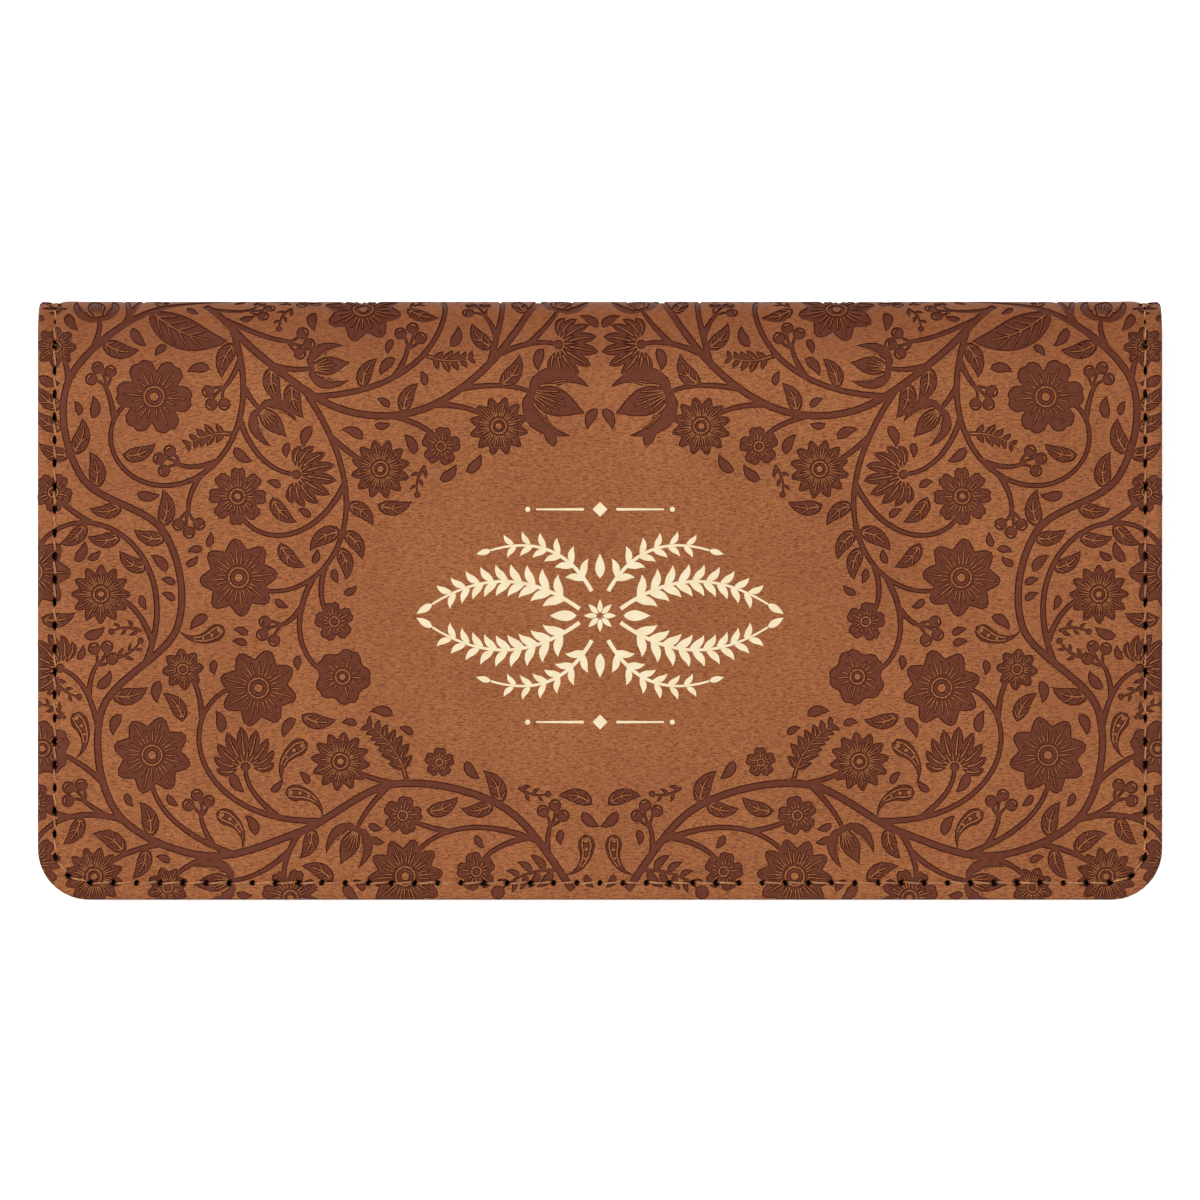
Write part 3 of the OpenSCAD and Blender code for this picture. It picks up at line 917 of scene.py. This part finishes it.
# %% Leather
def leather(name, base, dark, light, roughness, grain, fibres, specular=0.2):
    """Faux leather: cloudy colour, short fibre marks along u, pores, and a grain in the bump."""
    material, tree, shader = new_material(name, roughness, specular)
    mm, along = sheet_mm(tree), sheet_mm(tree, (0.5, 2.2, 1))
    cloud = spread(tree, noise(tree, mm, 0.05, 4, 0.6), 0.35, 0.65)
    mottle = spread(tree, noise(tree, mm, 0.9, 4, 0.65), 0.3, 0.7)
    fibre = spread(tree, noise(tree, along, 2.4, 3, 0.6, 0.5), 0.5, 0.6)
    speck = spread(tree, noise(tree, mm, 3.4, 3, 0.6), 0.52, 0.64)
    glint = spread(tree, noise(tree, along, 3.1, 2, 0.5), 0.34, 0.44, 1, 0)
    colour = mixed(tree, spread(tree, mottle, 0, 1, 0, 0.6), base, light)
    colour = mixed(tree, spread(tree, cloud, 0, 1, 0, 0.25), colour, dark)
    colour = mixed(tree, spread(tree, glint, 0, 1, 0, fibres * 0.6), colour, light)
    colour = mixed(tree, spread(tree, fibre, 0, 1, 0, fibres), colour, dark)
    colour = mixed(tree, spread(tree, speck, 0, 1, 0, fibres * 0.7), colour, dark)
    # Painted shade: the leather is mixed towards its dark colour over the fold.
    colour = mixed(tree, spread(tree, fold_painted_shade(tree, mm), 0, 1, 0, 0.36), colour, dark)
    tree.links.new(spread(tree, mottle, 0, 1, roughness - 0.06, roughness + 0.08), shader.inputs["Roughness"])
    cells = add(tree, "ShaderNodeTexVoronoi", {"Vector": mm, "Scale": 2.4}, feature="DISTANCE_TO_EDGE")
    creases = spread(tree, cells.outputs["Distance"], 0, 0.12)
    low = bump(tree, creases, grain * 0.5, 0.0001)
    low = bump(tree, fibre, -grain, 0.00012, low)
    surface(tree, shader, colour, bump(tree, noise(tree, mm, 3.2, 4, 0.6), grain, 0.0002, low))
    return material


TAN = leather("tan_leather", srgb(164, 96, 50), srgb(118, 58, 29), srgb(192, 125, 78), 0.5, 0.4, 0.8)
PRESSED = leather("pressed_leather", srgb(107, 53, 35), srgb(86, 39, 25), srgb(123, 69, 49),
                  0.42, 0.2, 0.4, 0.12)
# The sunk walls are darker still: partly darkened by the hot plate, partly painted shade in the recess.
WALL_HEAT_AND_SHADE = leather("embossed_wall_heat_and_shade", srgb(78, 34, 20), srgb(62, 26, 16), srgb(90, 42, 26), 0.5, 0.1, 0.2, 0.1)
# The needle holes are near black: painted shade in the deep holes.
HOLE_SHADE = leather("needle_hole", srgb(36, 10, 5), srgb(26, 5, 2), srgb(46, 15, 8), 0.9, 0.3, 0.3)
POCKET = leather("pocket_leather", srgb(108, 61, 38), srgb(86, 46, 29), srgb(120, 72, 46), 0.5, 0.4, 0.45)

# %% Foil, cut edge and backing
def foil_material():
    """Pale gold foil, with the leather's grain showing through in places."""
    material, tree, shader = new_material("gold_foil", 0.4, Metallic=0.15)
    mm = sheet_mm(tree)
    worn = spread(tree, noise(tree, mm, 2.2, 4, 0.65), 0.62, 0.8)
    patch = spread(tree, noise(tree, mm, 0.5, 2), 0.35, 0.65)
    colour = mixed(tree, patch, srgb(252, 236, 200), srgb(248, 226, 184))
    surface(tree, shader, mixed(tree, worn, colour, srgb(228, 190, 146)),
            bump(tree, noise(tree, mm, 3.2, 4, 0.6), 0.25, 0.0001))
    return material


def edge_material():
    """The cut edge: dyed fibres in thin layers."""
    material, tree, shader = new_material("skin_edge", 0.7)
    layers = noise(tree, object_mm(tree, (0.3, 0.3, 3)), 3.0, 3)
    colour = mixed(tree, spread(tree, layers, 0.35, 0.65), srgb(88, 54, 40), srgb(112, 72, 54))
    surface(tree, shader, colour, bump(tree, noise(tree, object_mm(tree), 4, 3), 0.4, 0.0001))
    return material


def backing_material():
    """The knitted backing of the skin, which the board and lining hide."""
    material, tree, shader = new_material("skin_backing", 0.85)
    knit = noise(tree, sheet_mm(tree), 3.0, 2)
    colour = mixed(tree, spread(tree, knit, 0.4, 0.6), srgb(120, 90, 70), srgb(140, 108, 86))
    surface(tree, shader, colour, bump(tree, knit, 0.4, 0.0001))
    return material

# %% Thread and cloth
def thread_material():
    """Waxed polyester thread: fine twisted filaments, with painted highlights and shade between the twists in
    its colour.
    """
    material, tree, shader = new_material("waxed_thread", 0.34)
    twist_and_painted_glint = noise(tree, object_mm(tree, (3, 3, 3)), 2.2, 3, 0.6, 1.5)
    shade = noise(tree, object_mm(tree), 0.35, 2)
    # Painted highlights and shade: the twist's noise swings the colour from dark to bright.
    colour = mixed(tree, spread(tree, twist_and_painted_glint, 0.35, 0.65), srgb(120, 62, 32), srgb(232, 166, 106))
    colour = mixed(tree, spread(tree, shade, 0.4, 0.65, 0, 0.4), colour, srgb(120, 58, 34))
    surface(tree, shader, colour, bump(tree, twist_and_painted_glint, 0.7, 0.00008))
    return material


def cloth_material():
    """Plain-woven lining: warp and weft as two crossing waves."""
    material, tree, shader = new_material("lining_weave", 0.8, 0.25, Sheen_Weight=0.25, Sheen_Roughness=0.4)
    wave = {"Vector": sheet_mm(tree), "Scale": 0.9, "Distortion": 0.3, "Detail": 1.0}
    warp, weft = (add(tree, "ShaderNodeTexWave", wave, bands_direction=way).outputs["Fac"] for way in "XY")
    weave = add(tree, "ShaderNodeMath", {0: warp, 1: weft}, operation="MULTIPLY").outputs[0]
    slub = noise(tree, sheet_mm(tree, (0.1, 1, 1)), 1.2, 3)
    colour = mixed(tree, weave, srgb(70, 44, 32), srgb(104, 70, 51))
    colour = mixed(tree, spread(tree, slub, 0.45, 0.7, 0, 0.2), colour, srgb(118, 82, 61))
    surface(tree, shader, colour, bump(tree, weave, 0.5, 0.0001))
    return material

# %% Board and vinyl
def board_material():
    """Grey-brown fibre board."""
    material, tree, shader = new_material("fibre_board", 0.9, 0.2)
    fibres = noise(tree, object_mm(tree, (0.4, 1.2, 1)), 2.0, 4, 0.65, 0.8)
    flecks = spread(tree, noise(tree, object_mm(tree), 1.4, 2), 0.62, 0.72)
    colour = mixed(tree, spread(tree, fibres, 0.35, 0.65), srgb(128, 112, 94), srgb(152, 136, 116))
    surface(tree, shader, mixed(tree, flecks, colour, srgb(96, 80, 64)), bump(tree, fibres, 0.4, 0.0001))
    return material


def vinyl_material():
    """Clear soft vinyl, slightly rippled, with fine rub marks."""
    material, tree, shader = new_material("clear_vinyl", 0.08, Transmission_Weight=0.95, IOR=1.4, Alpha=0.45)
    rubs = spread(tree, noise(tree, sheet_mm(tree, (0.15, 2, 1)), 0.8, 3), 0.55, 0.75)
    tree.links.new(spread(tree, rubs, 0, 1, 0.04, 0.16), shader.inputs["Roughness"])
    surface(tree, shader, mixed(tree, rubs, srgb(244, 246, 248), srgb(224, 228, 232)),
            bump(tree, noise(tree, sheet_mm(tree), 0.05, 2), 0.2, 0.001))
    return material


THREAD, CLOTH, BOARD, CLEAR = thread_material(), cloth_material(), board_material(), vinyl_material()
FOIL, EDGE, BACKING = foil_material(), edge_material(), backing_material()
print("materials:", ", ".join(m.name for m in bpy.data.materials))

# %% [markdown]
# ## The outer skin
# The skin is one sheet. It is made in three pieces, cut along the middle of each of the fold's two stiff
# bands, because a piece can bend across one joint only. Near the seam the surface dips into a shallow
# valley, and at the free edges it rounds down. Sculpting could do that, but a height for each point of the
# flat sheet is exact and the same every run.

# %% Height of the outer face
CUT_LOW, CUT_HIGH = SHEET_V / 2 - FOLD_THIRD / 2, SHEET_V / 2 + FOLD_THIRD / 2
RIM = 0.7
hole_grid = {}
for u, v, _ in hole_places:
    hole_grid.setdefault((round(u / 4), round(v / 4)), []).append((u, v))


def seam_distance(u, v):
    """Distance to the seam's line. Round the fold only the sides carry it."""
    side = abs(HALF - abs(u) - SEAM_INSET)
    if FRONT_V < v < SHEET_V - FRONT_V:
        return side
    seam = abs(edge_distance(u, v) - SEAM_INSET)
    return min(seam, side) if CORNER_RADIUS < v < SHEET_V - CORNER_RADIUS else seam


def outer_height(u, v):
    d = edge_distance(u, v)
    rim = RIM - sqrt(max(0, RIM ** 2 - (RIM - d) ** 2)) if d < RIM else 0.0
    valley = 0.2 * exp(-(seam_distance(u, v) / 0.75) ** 2)
    pull = 0.0
    i, j = round(u / 4), round(v / 4)
    for cell in [(i + a, j + b) for a in (-1, 0, 1) for b in (-1, 0, 1)]:
        for a, b in hole_grid.get(cell, ()):
            pull += 0.14 * exp(-((u - a) ** 2 + (v - b) ** 2) / 0.8)
    pillow = 0.07 * exp(-((d - 4.6) / 1.6) ** 2)
    wave = 0.02 * sin(u * 0.31 + 1) * sin(v * 0.27) * min(1, d / 8)
    return -0.1 - min(rim, 0.6) - valley - min(pull, 0.2) + pillow + wave


print(f"the outer face lies at {outer_height(0, FRONT_V / 2):.2f} mm in the middle of a panel, "
      f"and at {outer_height(SEAM_U, FRONT_V / 2):.2f} mm along the seam")


# %% Materials and bends of the three pieces
KINDS = ["plain", "press", "wall", "foil", "hole"]
SKINS = [TAN, PRESSED, WALL_HEAT_AND_SHADE, FOIL, HOLE_SHADE, EDGE, BACKING]
SUNK = [("press", 2, 0.2, 0.17), ("hole", 4, 0.6, 0.06), ("foil", 3, 0.03, 0.03)]
BENDS = {("fold_upper", "front_panel"): (CUT_LOW, FRONT_V),
         ("fold_lower", "fold_upper"): (CUT_HIGH, CUT_LOW),
         ("back_panel", "fold_lower"): (SHEET_V - FRONT_V, CUT_HIGH)}
FRONT_BEND, MIDDLE_BEND, BACK_BEND = BENDS
BANDS = [("front", 0, CUT_LOW, ("front_skin",), FRONT_BEND),
         ("fold", CUT_LOW, CUT_HIGH, ("fold_skin_lower", "fold_skin_upper"), MIDDLE_BEND),
         ("back", CUT_HIGH, SHEET_V, ("back_skin",), BACK_BEND)]


def bend_with(piece, bodies):
    """Bakes a piece's placement into its mesh. The ends of its third of the fold are worked out but not used.
    """
    low, high = (folded(0, v, 0) for v in BENDS[bodies])
    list(bodies)
    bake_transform(piece)

# %% Lines and outline of a piece
def skin_lines(low, high):
    """Rows for the rounded rim and the seam's valley."""
    lines = rows_between(low, high)
    for inset in (0.12, 0.35, 0.7, 1.5, 2.0, 2.5, 3.0, 3.5, 4.6, 6.2):
        if low == 0:
            lines.append(border(inset, inset, high))
        elif high == SHEET_V:
            lines.append(turned_over(border(inset, inset, SHEET_V - low)))
        else:
            for side in (1, -1):
                lines.append([(side * (HALF - inset), low + (high - low) * k / 12) for k in range(13)])
    return lines


def panel_outline(low, high):
    if low == 0:
        return border(0, 0, high)
    if high == SHEET_V:
        return turned_over(border(0, 0, SHEET_V - low))
    return [(-HALF, low), (HALF, low), (HALF, high), (-HALF, high)]

# %% Build the three skins
for where, low, high, nodes, bodies in BANDS:
    shapes = [s for s in sheet.shapes + foil + holes if near(s, low, high)]
    grid = [(u, v) for u in spaced(-HALF, HALF, 3) for v in spaced(low, high, 3)]
    skin = shell(f"{where}_skin_leather", panel_outline(low, high), outer_height, lambda u, v: -SKIN, SKINS,
                 skin_lines(low, high), shapes, grid, KINDS, SUNK)
    bend_with(skin, bodies)
    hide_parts(*nodes)

# %% [markdown]
# ## Threads
# Each stitch is its own short strand: a flattened rope section, twisted along the way, that comes up from
# one needle hole and goes down into the next, and slants a little. A curve with a bevel makes a long cord
# quickly, but these strands have to follow the folded sheet, so each ring is placed on it.

# %% One strand
STRAND_SIDES, STRAND_RINGS = 6, 9


def strand(bm, path, wide, high):
    """Adds a closed twisted strand along a path of (u, v, h)."""
    rings, points = [], [folded(*p) / MM for p in path]
    for i, (u, v, h) in enumerate(path):
        along = (points[min(i + 1, len(path) - 1)] - points[max(i - 1, 0)]).normalized()
        up = (folded(u, v, h + 1) / MM - points[i]).normalized()
        side = along.cross(up).normalized()
        up = side.cross(along)
        share = i / (len(path) - 1)
        size = 0.55 + 0.45 * sin(pi * share) ** 0.4
        ring = []
        for k in range(STRAND_SIDES):
            a = 2 * pi * k / STRAND_SIDES + 2.2 * share
            ripple = 1 + 0.14 * cos(2 * a - 5 * share)
            place = points[i] + side * (wide * size * ripple * cos(a)) + up * (high * size * sin(a))
            ring.append(bm.verts.new(place * MM))
        rings.append(ring)
    for a, b in zip(rings, rings[1:]):
        for k in range(STRAND_SIDES):
            n = (k + 1) % STRAND_SIDES
            bm.faces.new((a[k], b[k], b[n], a[n]))
    bm.faces.new(rings[0])
    bm.faces.new(rings[-1][::-1])

# %% From hole to hole
def stitch_path(start, end, surface, rise, dip, slant, inset=0.0, sag=0.0):
    """From hole to hole, above a surface given as a function of u and v. Inset keeps it off the holes'
    middles, and sag takes its middle back down."""
    (u0, v0), (u1, v1) = start, end
    length = hypot(u1 - u0, v1 - v0)
    nu, nv = (v0 - v1) / length, (u1 - u0) / length
    path = []
    for i in range(STRAND_RINGS):
        share = i / (STRAND_RINGS - 1)
        t = inset / length + share * (1 - 2 * inset / length)
        lift = sin(pi * share) ** 0.5
        u = u0 + (u1 - u0) * t + nu * slant * (1 - 2 * share)
        v = v0 + (v1 - v0) * t + nv * slant * (1 - 2 * share)
        path.append((u, v, surface(u, v) - dip + (dip + rise) * lift - sag * sin(pi * share) ** 3))
    return path


def inner_face(u, v):
    """Height of what faces the inside: a pocket, the lining on a board, or the lining in the fold."""
    if v < REGISTER_V or v > CHECK_V:
        return -POCKET_FACE
    return lining_face(u, v)


def lining_face(u, v):
    t = min(1, max(0, (min(v, SHEET_V - v) - BOARD_V) / 0.6))
    return -LINING_FACE + (LINING_FACE - SKIN - LINING) * t * t * (3 - 2 * t)

# %% Runs between neighbouring holes
BOARD_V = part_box("back_board")[1].y / MM - FREE_EDGE
REGISTER_V = REGISTER_MOUTH - FREE_EDGE
CHECK_V = SHEET_V - (CHECK_MOUTH - FREE_EDGE)
seam_holes = [seam_place(s)[:2] for s in hole_s]
seam_runs = list(zip(seam_holes, seam_holes[1:]))
seam_runs += [((-a[0], a[1]), (-b[0], b[1])) for a, b in seam_runs]


def outer_stitch(a, b):
    """On the sides a stitch lies open. Along the free edge the leather has closed over its middle."""
    upright = abs(b[1] - a[1]) / hypot(b[0] - a[0], b[1] - a[1])
    slant = 0.12 if a[0] > 0 else -0.12
    return stitch_path(a, b, outer_height, 0.1, 0.4, slant, 0.3 + 0.3 * upright, 0.1 * (1 - upright))

# %% Build the threads
def in_band(runs, low, high):
    return [r for r in runs if low <= (r[0][1] + r[1][1]) / 2 < high]


def thread_piece(name, paths, wide, high, nodes):
    bm = bmesh.new()
    for path in paths:
        strand(bm, path, wide, high)
    bmesh.ops.recalc_face_normals(bm, faces=bm.faces[:])
    piece = finish_mesh(name, bm, [THREAD], 60)
    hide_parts(*nodes)
    return piece


for where, low, high, _, bodies in BANDS:
    runs = in_band(seam_runs, low, high)
    sides = (f"{where}_seam_outer_thread",), (f"{where}_seam_inner_thread",)
    if where == "fold":
        sides = [(f"fold_{side}_thread_lower", f"fold_{side}_thread_upper") for side in ("outer", "inner")]
    outer = [outer_stitch(a, b) for a, b in runs]
    inner = [stitch_path(a, b, inner_face, -0.2, -0.35, 0.16) for a, b in runs]
    bend_with(thread_piece(f"{where}_outer_stitches", outer, 0.18, 0.15, sides[0]), bodies)
    bend_with(thread_piece(f"{where}_inner_stitches", inner, 0.24, 0.17, sides[1]), bodies)

# %% [markdown]
# ## Lining
# A thin woven cloth lines both boards and the fold. It steps down at the boards' edge by a board's
# thickness. A plane with a Solidify modifier would do for a flat lining, but the same shell as the skin's,
# with no shapes in it, bends and is cut just as the skin is.

# %% Build the lining
def lining_back(u, v):
    return lining_face(u, v) + LINING


def lining_lines(low, high):
    lines = rows_between(low, high)
    for v in [BOARD_V + 0.1 * k for k in range(8)]:
        lines += [row(w) for w in (v, SHEET_V - v) if low < w < high]
    return lines


for where, low, high, nodes, bodies in BANDS:
    cloth = shell(f"{where}_lining_cloth", panel_outline(low, high), lining_face, lining_back,
                  [CLOTH, CLOTH, CLOTH], lining_lines(low, high))
    bend_with(cloth, bodies)
    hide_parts(*[n.replace("skin", "lining") for n in nodes])

# %% [markdown]
# ## Pockets
# Each pocket is a leather sheet with its edges turned under and sewn into the seam, so the turned strip
# shows as a second layer at the cut edge. The mouth has a hem with its own row of stitches. One function
# makes both pockets: it draws them on the front's side of the sheet, and turns one over to the back's.

# %% One pocket, with its turned edge and its hem
HEM, TURNED = 2.5, 5.0
HEM_STITCHES = 22


def pocket(where, body, mouth, turned, nodes):
    """One pocket, drawn from its panel's free edge to its mouth. turned() puts it on its own panel."""
    def face(u, v):
        w = min(v, SHEET_V - v)
        d = min(edge_distance(u, v), mouth - w)
        rim = 0.35 - sqrt(max(0, 0.35 ** 2 - (0.35 - d) ** 2)) if d < 0.35 else 0.0
        hem = 0.2 * exp(-((mouth - w - HEM) / 0.5) ** 2)
        seam = 0.18 * exp(-((edge_distance(u, v) - SEAM_INSET) / 0.6) ** 2)
        return -POCKET_FACE + 0.02 + min(rim, 0.3) + max(hem, seam)

    def back(u, v):
        return -POCKET_BACK

    outline, insets = border(0, 0, mouth), (0.1, 0.35, 1.9, 2.2, 2.5, 2.8, 3.1)
    lines = [border(inset, inset, mouth) for inset in insets] + [row(mouth - inset) for inset in insets]
    grid = [(u, v) for u in spaced(-HALF, HALF, 4) for v in spaced(0, mouth, 4)]
    sheet_piece = shell(f"{where}_pocket_leather", turned(outline), face, back, [POCKET, EDGE, POCKET],
                        [turned(line) for line in lines], points=turned(grid))
    strip = shell(f"{where}_pocket_turned_edge", turned(outline + border(TURNED, TURNED, mouth)[::-1]), back,
                  lambda u, v: -LINING_FACE, [POCKET, EDGE, POCKET])
    hem_u = [(i - HEM_STITCHES) * PITCH for i in range(2 * HEM_STITCHES + 1)]
    runs = [(turned([(a, mouth - HEM)])[0], turned([(b, mouth - HEM)])[0]) for a, b in zip(hem_u, hem_u[1:])]
    paths = [stitch_path(a, b, face, -0.1, -0.3, 0.12) for a, b in runs]
    thread = thread_piece(f"{where}_pocket_hem_stitches", paths, 0.22, 0.16, (nodes[2],))
    for piece, node in ((sheet_piece, nodes[0]), (strip, nodes[1])):
        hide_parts(node)
    for piece in (sheet_piece, strip, thread):
        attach(piece, body)

# %% Build both pockets
def as_drawn(points):
    return list(points)


pocket("register", "front_panel", REGISTER_V, as_drawn,
       ("register_pocket", "register_pocket_turned_edge", "register_pocket_hem_thread"))
pocket("check", "back_panel", SHEET_V - CHECK_V, turned_over,
       ("check_pocket", "check_pocket_turned_edge", "check_pocket_hem_thread"))

# %% [markdown]
# ## Clear divider
# A sheet of clear vinyl is tucked behind the check pocket and turns over at a crease. It could be two
# plates and a hinge, but a real divider is one sheet, so it is one shell, drawn flat like the rest and
# folded round its crease by one function.

# %% Sizes of the divider
tab_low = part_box("divider_tab")[0] / MM
flap_low, flap_high = (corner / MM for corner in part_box("divider_flap"))
VINYL = flap_high.z - flap_low.z
CREASE_Y = flap_high.y
CREASE_TOP, CREASE_LOW = (flap_low.z + flap_high.z) / 2, tab_low.z + VINYL / 2
CREASE_R = (CREASE_TOP - CREASE_LOW) / 2
TAB_LENGTH = CREASE_Y - tab_low.y
FLAP_CORNER = 6.0


def vinyl_place(u, s, h):
    """A point of the vinyl sheet: s runs from the tab's end, round the crease, to the flap's free edge."""
    if s < TAB_LENGTH:
        y, z = tab_low.y + s, CREASE_LOW - h
    elif s < TAB_LENGTH + pi * CREASE_R:
        a = (s - TAB_LENGTH) / CREASE_R
        y, z = CREASE_Y + (CREASE_R + h) * sin(a), (CREASE_LOW + CREASE_TOP) / 2 - (CREASE_R + h) * cos(a)
    else:
        y, z = CREASE_Y - (s - TAB_LENGTH - pi * CREASE_R), CREASE_TOP + h
    return Vector((u * MM, y * MM, z * MM))

# %% Build the divider
vinyl_end = TAB_LENGTH + pi * CREASE_R + CREASE_Y - flap_low.y
side = flap_high.x
corner = arc(side - FLAP_CORNER, vinyl_end - FLAP_CORNER, FLAP_CORNER, 0, 90, 8)
vinyl_outline = [(-side, 0), (side, 0)] + corner + [(-u, s) for u, s in reversed(corner)]
vinyl_lines = [row(TAB_LENGTH + pi * CREASE_R * k / 10, side) for k in range(11)]
vinyl = shell("clear_divider", vinyl_outline, lambda u, s: VINYL / 2, lambda u, s: -VINYL / 2,
              [CLEAR, CLEAR, CLEAR], vinyl_lines, place=vinyl_place)
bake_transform(vinyl)
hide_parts("divider_tab", "divider_flap")

# %% [markdown]
# ## Boards
# Each panel is stiff because of a thin fibre board between skin and lining. The board is a plain cut plate,
# so it keeps its CAD shape and only gets a finish. It shows as a thin line between the layers.

# %% Give the boards their finish
for name in ("back_board", "front_board"):
    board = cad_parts[name]
    board.data.materials.clear()
    board.data.materials.append(BOARD)

# %% [markdown]
# ## Camera, light and floor
# The photo looks straight down at the closed cover, on white, in soft light from the upper left. A long
# lens from well above keeps its sides straight. The white comes from the floor, which glows only where the
# camera sees it, so the lamps stay at a plain level and the floor keeps the shadow.

# %% Camera straight above
FRAME_WIDTH, AWAY, FLOOR_GAP = 176 * MM, 1.6, 0.4 * MM
camera = bpy.data.objects.new("camera", bpy.data.cameras.new("camera"))
camera.data.lens = camera.data.sensor_width * AWAY / FRAME_WIDTH
camera.location = (0, 0, THICKNESS * MM + AWAY)
bpy.context.scene.collection.objects.link(camera)
bpy.context.scene.camera = camera
camera.data.clip_start = 0.01
print(f"camera lens {camera.data.lens:.0f} mm")

# %% Soft lamps and a dim white world
def area_light(name, place, size, power, aim=(0, 0, 0)):
    lamp = bpy.data.lights.new(name, "AREA")
    lamp.size, lamp.energy = size, power
    obj = bpy.data.objects.new(name, lamp)
    obj.location = place
    obj.rotation_euler = (Vector(aim) - Vector(place)).to_track_quat("-Z", "Y").to_euler()
    bpy.context.scene.collection.objects.link(obj)


area_light("key", (-0.6, 0.5, 0.95), 0.8, 10.1)
area_light("fill", (0.5, -0.35, 1.0), 0.9, 3.4)
area_light("front", (0.0, -0.9, 0.6), 0.8, 1.7)
world = bpy.data.worlds.new("studio")
bpy.context.scene.world = world
world.use_nodes = True
world.node_tree.nodes["Background"].inputs["Color"].default_value = (1, 1, 1, 1)
world.node_tree.nodes["Background"].inputs["Strength"].default_value = 0.3
bpy.context.scene.view_settings.view_transform = "Standard"

# %% Pale floor
floor_mesh = bmesh.new()
bmesh.ops.create_grid(floor_mesh, x_segments=1, y_segments=1, size=3)
floor_data = bpy.data.meshes.new("floor")
floor_mesh.to_mesh(floor_data)
floor_mesh.free()
floor = bpy.data.objects.new("floor", floor_data)
floor.location.z = -FLOOR_GAP
bpy.context.scene.collection.objects.link(floor)
floor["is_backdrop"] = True
floor_paper, tree, shader = new_material("floor_paper", 0.9, 0.1)
shader.inputs["Base Color"].default_value = (0.95, 0.95, 0.95, 1)
shader.inputs["Emission Color"].default_value = (1, 1, 1, 1)
seen = add(tree, "ShaderNodeLightPath").outputs["Is Camera Ray"]
tree.links.new(spread(tree, seen, 0, 1, 0, 0.6), shader.inputs["Emission Strength"])
floor_data.materials.append(floor_paper)

# %% Sizes, and the end
low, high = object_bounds()
{"cad": [list(cad_low), list(cad_high)], "visual": [list(low), list(high)]}
